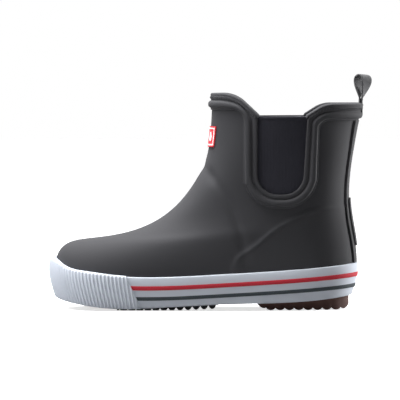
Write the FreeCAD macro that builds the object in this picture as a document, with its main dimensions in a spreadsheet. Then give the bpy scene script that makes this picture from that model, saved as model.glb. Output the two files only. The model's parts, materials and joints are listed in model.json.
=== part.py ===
"""Ankle-high rubber rain boot for the left foot, built as separate layers round one boot form.

The boot stands on its tread at z = 0 with the toe towards -X, the heel towards +X and the lateral side
towards -Y. All sizes are millimetres. The curved skin of the boot is one lofted form. Every rubber or
textile layer is the room between two offsets of that form, cut to its outline by padded sketches.
"""

import FreeCAD, Part
import math
import os
import re
import Sketcher

Vector = FreeCAD.Vector
DOCUMENT = "rain_boot"
WORLD_REACH = 200.0  # cutting bodies run this far past the boot

# alias, value in mm, what it is
SIZES = [
    ("boot_length", 222.0, "length of the upper at its widest level, toe to heel"),
    ("collar_height", 159.5, "floor to the top of the front collar"),
    ("ball_width", 77.0, "width of the upper at the ball of the foot"),
    ("toe_swing", 6.0, "how far the toe bends towards the big toe"),
    ("rear_drop", 7.7, "front collar top down to the rear collar top"),
    ("gusset_drop", 17.2, "front collar top down to the top of the elastic"),
    ("gusset_width", 36.0, "clear width of the elastic window at its foot"),
    ("gusset_depth", 57.0, "height of the elastic window"),
    ("gusset_corner", 14.5, "corner radius at the foot of the window"),
    ("gusset_setback", 61.8, "back of the boot form at the collar to the middle of the window"),
    ("edge_lap", 1.0, "how far the collar's slopes run in over the elastic"),
    ("gusset_flare", 3.0, "how much further the window opens rearward at its top"),
    ("shoulder_run", 17.0, "length of the slope from the front collar down to the elastic"),
    ("rear_shoulder_run", 11.0, "length of the slope from the rear collar down to the elastic"),
    ("shoulder_radius", 24.0, "rounding at the top of each collar slope"),
    ("skin", 1.6, "thickness of the rubber skin"),
    ("lining", 1.4, "thickness of the knitted lining"),
    ("toe_puff", 0.7, "thickness of the toe stiffener"),
    ("toe_puff_end", 80.0, "middle of the boot forward to the back of the toe stiffener"),
    ("elastic", 1.2, "thickness of the elastic web"),
    ("elastic_margin", 5.0, "part of the elastic web caught behind the skin"),
    ("trim_width", 10.5, "width of the moulded trim round the window"),
    ("trim_flange", 1.2, "thickness of the trim's flange"),
    ("trim_bead", 2.6, "height of the trim's bead"),
    ("bead_outer_inset", 1.9, "outer edge of the trim to its bead"),
    ("bead_inner_inset", 4.4, "inner edge of the trim to its bead"),
    ("collar_band", 11.0, "depth of the trim under the collar edge"),
    ("collar_corner", 7.0, "radius where the collar trim turns down the window"),
    ("splice_drop", 49.0, "front collar top down to the splice of the trim"),
    ("rim_tape", 1.5, "height of the tape over the collar edge"),
    ("rim_overhang", 0.9, "how far the rim tape stands out over the skin"),
    ("counter", 0.8, "thickness of the heel counter overlay"),
    ("backstay", 1.6, "thickness of the back strip"),
    ("backstay_width", 24.0, "width of the back strip"),
    ("patch", 1.2, "thickness of the heel patch"),
    ("patch_width", 17.0, "width of the heel patch"),
    ("patch_low", 47.0, "floor to the lower edge of the heel patch"),
    ("patch_high", 82.0, "floor to the upper edge of the heel patch"),
    ("patch_corner", 2.5, "corner radius of the heel patch"),
    ("label", 0.9, "thickness of the front label"),
    ("label_width", 30.0, "width of the front label, measured across"),
    ("label_height", 15.2, "height of the front label"),
    ("label_drop", 24.7, "front collar top down to the label"),
    ("foxing", 2.4, "thickness of the sidewall band"),
    ("stripe", 0.5, "thickness of the coloured stripes"),
    ("red_below", 6.4, "sidewall edge down to the red stripe"),
    ("red_height", 3.0, "height of the red stripe"),
    ("dark_below", 14.2, "sidewall edge down to the dark stripe"),
    ("dark_height", 2.6, "height of the dark stripe"),
    ("bumper", 1.6, "thickness of the toe bumper between its ribs"),
    ("rib", 0.9, "height of the toe bumper's ribs"),
    ("rib_width", 1.5, "width of one rib"),
    ("rib_draft", 0.3, "how much each rib widens towards its root, per side"),
    ("rib_pitch", 2.75, "distance from rib to rib along the toe"),
    ("bumper_end_top", 53.5, "toe tip of the form back to the bumper's end, at its top"),
    ("bumper_slant", 11.0, "how much further back the bumper ends at its foot"),
    ("midsole", 2.2, "thickness of the midsole inside the sidewall"),
    ("welt", 0.8, "thickness of the outsole's lip under the sidewall"),
    ("welt_reach", 1.5, "how far the outsole's lip stands out under the sidewall"),
    ("tread_pitch", 5.9, "distance from one tread bar to the next"),
    ("tread_bar", 3.4, "length of one tread bar at the ground"),
    ("tread_gap", 2.5, "width of a groove at the heel's foot"),
    ("tread_root", 7.0, "height that the sides of the tread bars are drawn to"),
    ("tread_front", 64.9, "middle of the first tread bar, forward of the ankle"),
    ("tread_count", 13, "tread bars under the forefoot"),
    ("groove_count", 9, "grooves across the heel"),
    ("groove_depth", 1.6, "depth of a groove in the heel"),
    ("heel_length", 50.0, "flat length of the heel on the ground"),
    ("heel_toe_off", 4.0, "lift of the heel's rear edge"),
    ("heel_root", 24.0, "height that the heel's sides are drawn to"),
    ("tread_draft", 0.8, "how much each bar widens towards its root, per side"),
    ("heel_front", 43.0, "x where the heel's front edge meets the ground"),
    ("heel_slope", 10.5, "run of the slope at the front of the heel"),
    ("lasting_margin", 14.0, "width of the skin turned in under the insole board"),
    ("insole_board", 2.0, "thickness of the insole board"),
    ("footbed", 4.5, "thickness of the loose footbed"),
    ("footbed_gap", 0.3, "clearance round the loose footbed"),
    ("shank", 1.1, "thickness of the steel shank"),
    ("shank_width", 13.0, "width of the steel shank"),
    ("shank_length", 82.0, "length of the steel shank"),
    ("shank_middle", 12.0, "x of the middle of the steel shank"),
    ("fit_gap", 0.05, "clearance between pieces that lie against each other"),
    ("loop_width", 11.0, "width of the pull loop's tape"),
    ("loop_tape", 1.3, "thickness of the pull loop's tape"),
    ("loop_rise", 21.5, "rear collar top up to the top of the pull loop"),
    ("loop_bulge", 4.4, "radius of the pull loop's round top"),
    ("loop_turn", 34.0, "turn of the loop's top about the upright, degrees"),
    ("loop_twist", 12.6, "height over which the loop takes up its turn"),
    ("loop_lean", 6.0, "lean of the loop to the rear, degrees"),
    ("loop_tab", 12.0, "length of the loop's tails under the collar's edge"),
    ("loop_foot", 1.4, "radius of the loop's stitched foot"),
    ("loop_gap", 0.4, "clearance between the loop and its sewn tails"),
]

# The boot form, section by section from the sole up. Each section is a slanted plane through the front
# (x, z) and the back (x, z), in shares of the boot's length and height, and three half widths at a
# quarter, a half and four fifths of the way back, in shares of the ball's half width.
SECTIONS = [
    ((-0.455, -0.088), (0.423, -0.088), (0.890, 0.800, 0.720)),
    ((-0.487, 0.031), (0.453, 0.031), (0.955, 0.835, 0.755)),
    ((-0.511, 0.138), (0.478, 0.138), (1.000, 0.870, 0.805)),
    ((-0.515, 0.206), (0.484, 0.206), (0.977, 0.873, 0.808)),
    ((-0.501, 0.266), (0.482, 0.266), (0.888, 0.857, 0.802)),
    ((-0.464, 0.306), (0.477, 0.325), (0.769, 0.836, 0.800)),
    ((-0.396, 0.323), (0.470, 0.381), (0.665, 0.821, 0.803)),
    ((-0.306, 0.341), (0.463, 0.438), (0.639, 0.810, 0.808)),
    ((-0.207, 0.384), (0.458, 0.500), (0.649, 0.821, 0.813)),
    ((-0.119, 0.464), (0.458, 0.569), (0.688, 0.847, 0.813)),
    ((-0.050, 0.581), (0.463, 0.650), (0.743, 0.878, 0.800)),
    ((-0.011, 0.700), (0.474, 0.750), (0.795, 0.914, 0.785)),
    ((0.004, 0.844), (0.489, 0.863), (0.831, 0.961, 0.769)),
    ((0.009, 1.000), (0.517, 1.000), (0.862, 0.997, 0.795)),
    ((0.011, 1.113), (0.536, 1.113), (0.883, 1.023, 0.810)),
]
POINTS_ROUND = 20  # points on each section's closed curve
FRONT_TURN = 0.5  # cosine of the angle at which a section's first half width stands
REAR_TURN = -0.6  # and its last
SOLE_SECTIONS = 4  # sections low enough to bend with the sole's swing
WIDEST_SECTION = 3  # where the toe reaches furthest forward
SWING_FADE = 6.0  # sections above those over which the swing dies out
LATERAL_LEAN = -1.5  # the sole's centre line stands this far to the lateral side
LOOP_STATIONS = 20  # tape sections from one foot of the pull loop to the other
LOOP_LEG = 0.34  # share of the loop's stations on each leg
CAP_STEP = 0.3  # how fast the ends of a thinner form reach past those of a thicker one

# The foot of the sidewall in side view: share of the boot's length, height above the floor.
SOLE_LINE = [(-0.56, 14.2), (-0.482, 8.2), (-0.428, 5.4), (-0.306, 2.2), (-0.17, 2.6), (0.046, 4.8),
             (0.30, 6.8), (0.47, 11.4), (0.56, 15.2)]
# The upper edge of the sidewall in side view.
EDGE_LINE = [(-0.56, 42.0), (-0.513, 38.0), (-0.474, 32.2), (-0.413, 28.6), (-0.30, 25.7), (-0.183, 24.9),
             (0.016, 26.6), (0.237, 29.5), (0.40, 32.4), (0.56, 36.4)]

doc = FreeCAD.newDocument(DOCUMENT)
sheet = doc.addObject("Spreadsheet::Sheet", "sizes")


def fill_sheet():
    """Write every driving dimension into the sheet as a plain number with an alias."""
    for row, (alias, size, meaning) in enumerate(SIZES, start=1):
        sheet.set(f"A{row}", meaning)
        sheet.set(f"B{row}", str(size))
        sheet.setAlias(f"B{row}", alias)
    doc.recompute()


def size(alias):
    """A driving dimension, read back from the sheet."""
    return float(sheet.get(alias))


fill_sheet()


# ---------------------------------------------------------------------------------- the boot form
def half_width(angle, widths):
    """Half width of a section at an angle round it: 0 at the front, a half turn at the back.

    It passes through the section's half widths a sixth of a turn from the front, at the middle, and
    where the cosine of the angle is REAR_TURN.
    """
    quarter, middle, rear = (w * size("ball_width") / 2 for w in widths)
    turn = math.cos(angle)
    front_fullness = quarter / math.sqrt(1 - FRONT_TURN**2) - middle
    rear_fullness = rear / math.sqrt(1 - REAR_TURN**2) - middle
    square = (rear_fullness - front_fullness * REAR_TURN / FRONT_TURN) / (REAR_TURN * (REAR_TURN - FRONT_TURN))
    linear = (front_fullness - square * FRONT_TURN**2) / FRONT_TURN
    return math.sin(angle) * (middle + linear * turn + square * turn * turn)


def form_point(section, step):
    """One point of the boot form: its section, and its step round that section."""
    front, back, widths = SECTIONS[section]
    angle = 2 * math.pi * step / POINTS_ROUND
    share = (1 - math.cos(angle)) / 2
    bend = min(1.0, max(0.0, 1 - (section - SOLE_SECTIONS + 1) / SWING_FADE))
    swing = size("toe_swing") * max(0.0, math.cos(angle)) ** 2 + LATERAL_LEAN
    return Vector(
        size("boot_length") * (front[0] + (back[0] - front[0]) * share),
        bend * swing - half_width(angle, widths),
        size("collar_height") * (front[1] + (back[1] - front[1]) * share),
    )


def offset_rows(offset, last=len(SECTIONS) - 1):
    """The form's points up to a section, moved out along its normals. The end rows stay level for a cap."""
    points = [[form_point(i, j) for j in range(POINTS_ROUND)] for i in range(last + 1)]
    rows = []
    for i, row in enumerate(points):
        moved = []
        for j, point in enumerate(row):
            along = row[(j + 1) % POINTS_ROUND] - row[j - 1]
            normal = Vector(along.y, -along.x, 0)
            if 0 < i < last:
                normal = along.cross(points[i + 1][j] - points[i - 1][j])
            moved.append(point + normal.normalize() * offset)
        rows.append(moved)
    step = CAP_STEP * offset
    rows[0] = [p + Vector(0, 0, step) for p in rows[0]]
    rows[-1] = [p - Vector(0, 0, step) for p in rows[-1]]
    return rows


def smooth_ring(points):
    """A closed smooth curve through the points, its parameter counting the steps round it."""
    curve = Part.BSplineCurve()
    curve.interpolate(Points=points, Parameters=list(range(len(points) + 1)), PeriodicFlag=True)
    return curve


def lofted(name, rows):
    """A solid lofted through closed smooth curves, each in a lateral and a medial half. The document keeps it."""
    wires = []
    half = POINTS_ROUND // 2
    for row in rows:
        ring = smooth_ring(row)
        wires.append(Part.Wire([ring.toShape(0, half), ring.toShape(half, 2 * half)]))
    feature = doc.addObject("Part::Feature", name)
    feature.Shape = Part.makeLoft(wires, True, False, False, 5)
    return feature


def offset_name(start, offset):
    return start + f"{offset:+.2f}".replace("+", "_out_").replace("-", "_in_").replace(".", "_")


def form(offset):
    """The boot form grown by an offset, as one solid. Each offset is made once."""
    name = offset_name("form", offset)
    return doc.getObject(name) or lofted(name, offset_rows(offset))


def sole_form(offset):
    """The foot of the boot form alone, which can shrink much further than the whole."""
    name = offset_name("sole_form", offset)
    return doc.getObject(name) or lofted(name, offset_rows(offset, SOLE_SECTIONS))


def back_of_form(height):
    """x of the form's back at a height, read between the sections."""
    ends = [(b[1] * size("collar_height"), b[0] * size("boot_length")) for f, b, w in SECTIONS]
    for (low_z, low_x), (high_z, high_x) in zip(ends, ends[1:]):
        if low_z <= height <= high_z:
            return low_x + (high_x - low_x) * (height - low_z) / (high_z - low_z)
    return ends[-1][1]


# -------------------------------------------------------------------------------- document helpers
def new_body(name):
    return doc.addObject("PartDesign::Body", name)


def plane_sketch(body, name, plane):
    """A sketch on one of its own body's origin planes."""
    sketch = body.newObject("Sketcher::SketchObject", name)
    origin_plane = next(f for f in body.Origin.OriginFeatures if f.Role == plane)
    sketch.AttachmentSupport = [(origin_plane, "")]
    sketch.MapMode = "FlatFace"
    return sketch


def worked_out(expression):
    """The number that an expression on the sheet stands for now."""
    return float(sheet.evalExpression(expression))


def bind(feature, field, expression):
    """Tie one of a feature's sizes to the sheet: each word in the expression is an alias there."""
    feature.setExpression(field, re.sub(r"[a-z]\w*", lambda word: "sizes." + word.group(), expression))


def polygon(sketch, corners):
    """A closed polygon whose corners are bound to expressions on the sheet: (across, up)."""
    values = [Vector(worked_out(across), worked_out(up), 0) for across, up in corners]
    for k, start in enumerate(values):
        sketch.addGeometry(Part.LineSegment(start, values[(k + 1) % len(values)]), False)
    for k in range(len(values)):
        sketch.addConstraint(Sketcher.Constraint("Coincident", k, 2, (k + 1) % len(values), 1))
    for k, (across, up) in enumerate(corners):
        first = sketch.addConstraint(Sketcher.Constraint("DistanceX", -1, 1, k, 1, values[k].x))
        bind(sketch, f"Constraints[{first}]", across)
        second = sketch.addConstraint(Sketcher.Constraint("DistanceY", -1, 1, k, 1, values[k].y))
        bind(sketch, f"Constraints[{second}]", up)


def pad_both_ways(body, sketch, length):
    pad = body.newObject("PartDesign::Pad", sketch.Name + "_pad")
    pad.Profile = sketch
    pad.Midplane = True
    bind(pad, "Length", length)
    doc.recompute()
    return pad


def round_corners(body, pad, plane, corners, radius):
    """Fillet the padded edges that stand over some corners of the profile."""
    places = [(worked_out(across), worked_out(up)) for across, up in corners]
    edges = []
    for number, edge in enumerate(pad.Shape.Edges, start=1):
        ends = [(v.X, v.Z) if plane == "XZ_Plane" else (v.Y, v.Z) for v in edge.Vertexes]
        if any(all(math.dist(end, place) < 0.01 for end in ends) for place in places):
            edges.append(f"Edge{number}")
    fillet = body.newObject("PartDesign::Fillet", pad.Name + "_round")
    fillet.Base = (pad, edges)
    bind(fillet, "Radius", radius)
    doc.recompute()
    return fillet


def outline(name, plane, corners, rounds=()):
    """A cutting body: a polygon on an origin plane, its corners rounded, padded right through the boot."""
    body = new_body(name)
    sketch = plane_sketch(body, name + "_sketch", plane)
    polygon(sketch, corners)
    feature = pad_both_ways(body, sketch, str(2 * WORLD_REACH))
    for numbers, radius in rounds:
        feature = round_corners(body, feature, plane, [corners[n] for n in numbers], radius)
    return body


def under(name, line, rise="0"):
    """A cutting body: all that lies under a side-view line, the line raised by an expression."""
    body = new_body(name)
    sketch = plane_sketch(body, name + "_sketch", "XZ_Plane")
    curve = Part.BSplineCurve()
    curve.interpolate([Vector(share * size("boot_length"), height, 0) for share, height in line])
    start, end = curve.StartPoint, curve.EndPoint
    corners = [end, Vector(end.x, -WORLD_REACH, 0), Vector(start.x, -WORLD_REACH, 0), start]
    sketch.addGeometry(curve, False)
    for a, b in zip(corners, corners[1:]):
        sketch.addGeometry(Part.LineSegment(a, b), False)
    bind(sketch, "AttachmentOffset.Base.y", rise)
    pad_both_ways(body, sketch, str(2 * WORLD_REACH))
    return body


def box(name, low, high):
    """A cutting box between two corners, each coordinate an expression on the sheet."""
    feature = doc.addObject("Part::Box", name)
    for axis, side, a, b in zip("xyz", ("Length", "Width", "Height"), low, high):
        bind(feature, side, f"({b}) - ({a})")
        bind(feature, f"Placement.Base.{axis}", a)
    return feature


def common(name, *pieces):
    feature = doc.addObject("Part::MultiCommon", name)
    feature.Shapes = list(pieces)
    return feature


def fuse(name, *pieces):
    feature = doc.addObject("Part::MultiFuse", name)
    feature.Shapes = list(pieces)
    return feature


def cut(name, base, *tools):
    """The base less each tool in turn."""
    for count, tool in enumerate(tools, start=1):
        feature = doc.addObject("Part::Cut", name if count == len(tools) else f"{name}_less_{count}")
        feature.Base = base
        feature.Tool = tool
        base = feature
    return base


# ------------------------------------------------------------------------------- outlines and layers
FAR = str(WORLD_REACH)
BACK = str(-WORLD_REACH)
FRONT_TOP = "collar_height - rim_tape"
REAR_TOP = "collar_height - rear_drop - rim_tape"
ELASTIC_TOP = "collar_height - gusset_drop"
WINDOW_FOOT = "collar_height - gusset_drop - gusset_depth"
VAMP_LINE = [(-0.15, 0.92), (-0.02, 0.653), (0.046, 0.515), (0.085, 0.387), (0.104, 0.301), (0.104, 0.10)]
COUNTER_LINE = [(0.0, -0.20), (0.081, 0.226), (0.123, 0.281), (0.20, 0.366), (0.30, 0.446), (0.355, 0.473),
                (0.43, 0.478), (0.60, 0.470)]


def from_back(distance):
    """x at a distance in front of the form's back at the collar, as an expression."""
    return f"{back_of_form(size('collar_height')):.4f} - ({distance})"


WINDOW_FRONT = from_back("gusset_setback + gusset_width / 2")
WINDOW_REAR = from_back("gusset_setback - gusset_width / 2")


def topline(name, drop):
    """All that lies under the collar's edge: high in front, low over the elastic, rising at the rear."""
    front_foot = f"{WINDOW_FRONT} + edge_lap"
    front_head = f"{WINDOW_FRONT} - shoulder_run"
    rear_foot = f"{WINDOW_REAR} + gusset_flare - edge_lap"
    rear_head = f"{WINDOW_REAR} + gusset_flare + rear_shoulder_run"
    corners = [
        (BACK, BACK),
        (FAR, BACK),
        (FAR, f"{REAR_TOP} - ({drop})"),
        (rear_head, f"{REAR_TOP} - ({drop})"),
        (rear_foot, f"{ELASTIC_TOP} - ({drop})"),
        (front_foot, f"{ELASTIC_TOP} - ({drop})"),
        (front_head, f"{FRONT_TOP} - ({drop})"),
        (BACK, f"{FRONT_TOP} - ({drop})"),
    ]
    return outline(name, "XZ_Plane", corners, [((3, 6), "shoulder_radius")])


def window(name, grow):
    """The opening that the elastic fills, grown all round by an expression."""
    corners = [
        (f"{WINDOW_FRONT} - ({grow})", f"{WINDOW_FOOT} - ({grow})"),
        (f"{WINDOW_REAR} - gusset_flare + ({grow})", f"{WINDOW_FOOT} - ({grow})"),
        (f"{WINDOW_REAR} + gusset_flare + ({grow})", "collar_height + 20"),
        (f"{WINDOW_FRONT} - ({grow})", "collar_height + 20"),
    ]
    return outline(name, "XZ_Plane", corners, [((0, 1), f"gusset_corner + ({grow})")])


def trim_land(name, inset):
    """Where the collar trim lies, shrunk from its outer edge by an expression."""
    corners = [
        (BACK, f"{FRONT_TOP} - collar_band + ({inset})"),
        (f"{WINDOW_FRONT} - trim_width + ({inset})", f"{FRONT_TOP} - collar_band + ({inset})"),
        (f"{WINDOW_FRONT} - trim_width + ({inset})", f"{WINDOW_FOOT} - trim_width + ({inset})"),
        (f"{WINDOW_REAR} - gusset_flare + trim_width - ({inset})", f"{WINDOW_FOOT} - trim_width + ({inset})"),
        (f"{WINDOW_REAR} + trim_width - ({inset})", f"{REAR_TOP} - collar_band + ({inset})"),
        (FAR, f"{REAR_TOP} - collar_band + ({inset})"),
        (FAR, FAR),
        (BACK, FAR),
    ]
    rounds = [((1, 4), f"collar_corner + ({inset})"), ((2, 3), f"gusset_corner + trim_width - ({inset})")]
    return outline(name, "XZ_Plane", corners, rounds)


def in_front_of(name, line):
    """All that lies forward of a side-view line, which runs from the top down."""
    points = [Vector(across * size("boot_length"), up * size("collar_height"), 0) for across, up in line]
    body = new_body(name)
    sketch = plane_sketch(body, name + "_sketch", "XZ_Plane")
    curve = Part.BSplineCurve()
    curve.interpolate(points)
    foot, head = points[-1], points[0]
    corners = [foot, Vector(foot.x, -WORLD_REACH, 0), Vector(-WORLD_REACH, -WORLD_REACH, 0),
               Vector(-WORLD_REACH, head.y, 0), head]
    sketch.addGeometry(curve, False)
    for a, b in zip(corners, corners[1:]):
        sketch.addGeometry(Part.LineSegment(a, b), False)
    pad_both_ways(body, sketch, str(2 * WORLD_REACH))
    return body


def across_middle(name, width, low, high):
    """A box as wide as an expression, centred on the heel's side of the boot, between two heights."""
    return box(name, ("boot_length / 4", f"-({width}) / 2", low), (FAR, f"({width}) / 2", high))


def bumper_reach():
    """All that lies forward of the toe bumper's slanted ends."""
    end = f"{form_point(WIDEST_SECTION, 0).x:.4f} + bumper_end_top"
    corners = [(BACK, "-25"), (f"{end} + 2 * bumper_slant", "-25"), (f"{end} - bumper_slant", "50"),
               (BACK, "50")]
    return outline("bumper_reach", "XZ_Plane", corners)


def layer(name, outside, inside, land):
    """The room between two offsets of the form, within the land that an outline gives it."""
    return cut(name, common(name + "_outside", form(outside), land), form(inside))


def cutters():
    """Every outline that more than one layer shares."""
    share = {
        "collar": topline("under_collar_edge", "0"),
        "rim": topline("under_rim_tape", "-rim_tape"),
        "window": window("gusset_window", "0"),
        "web": window("elastic_outline", "elastic_margin"),
        "edge": under("under_sidewall_edge", EDGE_LINE),
        "sole": under("under_sidewall_foot", SOLE_LINE),
        "welt": under("under_welt", SOLE_LINE, "-welt"),
        "sheet": under("under_midsole_top", SOLE_LINE, "midsole"),
        "margin": under("under_lasting_margin_top", SOLE_LINE, "midsole + skin"),
        "board": under("under_insole_board_top", SOLE_LINE, "midsole + skin + insole_board"),
        "bed": under("under_footbed_top", SOLE_LINE, "midsole + skin + insole_board + footbed"),
        "vamp": in_front_of("vamp_side", VAMP_LINE),
        "bumper": bumper_reach(),
        "lateral": box("lateral_side", (BACK, BACK, BACK), (FAR, "0", FAR)),
        "ahead": box("ahead_of_window", (BACK, BACK, BACK), (from_back("gusset_setback"), FAR, FAR)),
    }
    share["skin"] = cut("skin_land", share["collar"], share["window"], share["sheet"])
    share["over_edge"] = cut("rim_land", share["rim"], share["collar"], share["window"])
    doc.recompute()
    return share


# ---------------------------------------------------------------------------------------- the upper
def upper(share):
    """The rubber skin, turned in under the board all round, in two sheets that meet at the vamp line."""
    inside = cut("upper_inside", form(-size("skin")), share["margin"])
    hole = sole_form(-size("lasting_margin"))
    ahead = common("vamp_outside", form(0), common("vamp_land", share["skin"], share["vamp"]))
    behind = common("shaft_outside", form(0), cut("shaft_land", share["skin"], share["vamp"]))
    return [cut("vamp", ahead, inside, hole), cut("shaft", behind, inside, hole)]


def lining_layers(share, tails):
    """The toe stiffener, and the lining cut clear of it, of the elastic and of the loop's tails."""
    skin = size("skin")
    toe = box("toe_puff_reach", (BACK, BACK, BACK), ("-toe_puff_end", FAR, FAR))
    puff = layer("toe_puff", -skin, -skin - size("toe_puff"), cut("toe_puff_land", toe, share["board"]))
    land = cut("lining_land", share["collar"], share["web"], share["board"], toe)
    body = layer("lining_body", -skin, -skin - size("lining"), land)
    toe_land = cut("lining_toe_land", toe, share["board"])
    toe_cap = layer("lining_toe", -skin - size("toe_puff"), -skin - size("lining"), toe_land)
    return [puff, cut("lining", fuse("lining_layers", body, toe_cap), tails)]


def elastic_web(share):
    """The elastic, one piece a side, caught behind the skin all round its window."""
    top = box("under_elastic_top", (BACK, BACK, BACK), (FAR, FAR, ELASTIC_TOP))
    land = common("elastic_land", share["web"], top)
    sides = (("lateral_gusset", common("lateral_elastic_land", land, share["lateral"])),
             ("medial_gusset", cut("medial_elastic_land", land, share["lateral"])))
    return [layer(name, -size("skin"), -size("skin") - size("elastic"), side) for name, side in sides]


def collar_trim(share):
    """The moulded trim: a thin flange with a bead along it, in two lengths spliced on the rear leg."""
    under_edge = common("trim_under_collar", trim_land("trim_outline", "0"), share["collar"])
    land = cut("trim_land", under_edge, share["window"])
    inset = trim_land("bead_outline", "bead_outer_inset")
    below = topline("bead_edge", "bead_inner_inset")
    beads = cut("bead_land", common("bead_under_collar", inset, below),
                window("bead_window", "bead_inner_inset"))
    leg = box("rear_length", (from_back("gusset_setback"), BACK, "collar_height - splice_drop"),
              (FAR, FAR, FAR))
    trims = []
    for name, split in (("front_trim", cut), ("rear_trim", common)):
        flange = common(name + "_flange", form(size("trim_flange")), split(name + "_land", land, leg))
        bead = common(name + "_bead", form(size("trim_bead")), split(name + "_bead_land", beads, leg))
        trims.append(cut(name, fuse(name + "_layers", flange, bead), form(0)))
    return trims


def rim_tapes(share, tails):
    """The tape over the collar's edge, in front and behind, parted by the elastic."""
    inside = -size("skin") - size("lining")
    front_land = common("front_rim_land", share["over_edge"], share["ahead"])
    rear_land = cut("rear_rim_land", share["over_edge"], share["ahead"])
    front = layer("front_rim_tape", size("rim_overhang"), inside, front_land)
    rear = layer("rear_rim", size("rim_overhang"), inside, rear_land)
    return [front, cut("rear_rim_tape", rear, tails)]


def heel_overlays(share):
    """The counter that wraps the heel, the strip up the back and the patch on the strip."""
    arch = under("under_counter_arch", [(x, z * size("collar_height")) for x, z in COUNTER_LINE])
    counter = layer("heel_counter", size("counter"), 0, cut("counter_land", arch, share["edge"]))
    reach = across_middle("strip_reach", "backstay_width", "0", f"{REAR_TOP} - collar_band")
    strip_land = cut("strip_land", reach, share["edge"])
    low_land = common("low_strip_land", strip_land, arch)
    high_land = cut("high_strip_land", strip_land, arch)
    low = layer("backstay_low", size("backstay"), size("counter"), low_land)
    high = layer("backstay_high", size("backstay"), 0, high_land)
    corners = [("-patch_width / 2", "patch_low"), ("patch_width / 2", "patch_low"),
               ("patch_width / 2", "patch_high"), ("-patch_width / 2", "patch_high")]
    patch_side = outline("patch_outline", "YZ_Plane", corners, [((0, 1, 2, 3), "patch_corner")])
    behind = box("behind_ankle", ("boot_length / 4", BACK, BACK), (FAR, FAR, FAR))
    patch_land = common("patch_land", patch_side, behind)
    patch = layer("heel_patch", size("backstay") + size("patch"), size("backstay"), patch_land)
    return [counter, fuse("backstay", low, high), patch]


def front_label():
    """The blank badge on the front of the shaft."""
    top = "collar_height - label_drop"
    foot = f"{top} - label_height"
    corners = [("-label_width / 2", foot), ("label_width / 2", foot), ("label_width / 2", top),
               ("-label_width / 2", top)]
    side = outline("label_outline", "YZ_Plane", corners, [((0, 1, 2, 3), "patch_corner / 2")])
    ahead = box("ahead_of_ankle", (BACK, BACK, BACK), ("boot_length / 6", FAR, FAR))
    return layer("front_label", size("label"), 0, common("label_land", side, ahead))


# ------------------------------------------------------------------------------------- the sole unit
def stripe(name, share, below, height):
    """A stripe laid round the sidewall, from the toe bumper round the heel."""
    low_edge = under(name + "_foot", EDGE_LINE, f"-({below} + {height})")
    band = cut(name + "_land", under(name + "_top", EDGE_LINE, f"-({below})"), low_edge, share["bumper"])
    return layer(name, size("foxing") + size("stripe"), size("foxing"), band)


def sidewall(share):
    """The band round the foot of the boot, with the two stripes on it."""
    foxing = layer("foxing", size("foxing"), 0, cut("foxing_land", share["edge"], share["sole"]))
    red = stripe("red_stripe", share, "red_below", "red_height")
    dark = stripe("dark_stripe", share, "dark_below", "dark_height")
    return [foxing, red, dark]


def level_curve(section, offset):
    """The form's outline on one of the sole's sections."""
    return smooth_ring(offset_rows(offset, SOLE_SECTIONS)[section])


def rib_corners():
    """Where each rib's four corners come round the toe: (steps from the toe's tip, on the crest or not).

    The ribs are spaced along the toe bumper's own outline at the height where the toe is widest.
    """
    toe = level_curve(WIDEST_SECTION, size("foxing") + size("bumper"))
    girth = toe.length()
    end = form_point(WIDEST_SECTION, 0).x + size("bumper_end_top") + 2 * size("bumper_slant")
    halves = (size("rib_width") / 2 + size("rib_draft"), size("rib_width") / 2)
    corners = []
    for way in (-1, 1):
        count = 0 if way > 0 else 1
        while toe.value(toe.parameterAtDistance(way * count * size("rib_pitch") % girth, 0.0)).x < end:
            centre = way * count * size("rib_pitch")
            for side, crest in ((-halves[0], 0), (-halves[1], 1), (halves[1], 1), (halves[0], 0)):
                corners.append((toe.parameterAtDistance((centre + side) % girth, 0.0), crest))
            count += 1
    return sorted(corners)


def toe_bumper(share):
    """The ribbed band round the toe. Its outside is one loft through levels whose outline has the ribs."""
    valley = size("foxing") + size("bumper")
    corners = rib_corners()
    levels = []
    for section in range(SOLE_SECTIONS + 1):
        root, crest = level_curve(section, valley), level_curve(section, valley + size("rib"))
        points = []
        for step, raised in corners:
            low = root.value(step)
            high = crest.value(step)
            points.append(Vector(high.x, high.y, low.z) if raised else low)
        levels.append(Part.makePolygon(points + points[:1]))
    ribbed = doc.addObject("Part::Feature", "ribbed_toe")
    ribbed.Shape = Part.makeLoft(levels, True, False, False, 3)
    band = cut("bumper_land", common("bumper_band", share["edge"], share["bumper"]), share["sole"])
    return cut("toe_bumper", common("bumper_outside", ribbed, band), form(size("foxing")))


def bar_row(name, corners, count):
    """A row of equal bars along the boot: one padded profile, repeated at the tread's pitch."""
    body = new_body(name)
    sketch = plane_sketch(body, name + "_profile", "XZ_Plane")
    polygon(sketch, corners)
    pad = pad_both_ways(body, sketch, FAR)
    row = body.newObject("PartDesign::LinearPattern", name + "_row")
    row.Originals = [pad]
    row.Direction = (sketch, ["H_Axis"])
    bind(row, "Length", f"({count} - 1) * tread_pitch")
    bind(row, "Occurrences", count)
    body.Tip = row
    doc.recompute()
    return body


def outsole(share):
    """The outsole, whose lip shows under the sidewall, with the forefoot's tread bars under it."""
    first = "-tread_front"
    profile = [
        (f"{first} - tread_bar / 2", "0"),
        (f"{first} + tread_bar / 2", "0"),
        (f"{first} + tread_bar / 2 + tread_draft", "tread_root"),
        (f"{first} - tread_bar / 2 - tread_draft", "tread_root"),
    ]
    bars = common("tread_land", bar_row("forefoot_bars", profile, "tread_count"), share["sole"])
    slab = cut("outsole_slab", share["sole"], share["welt"])
    return common("outsole", fuse("outsole_land", slab, bars), form(size("welt_reach")))


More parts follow.
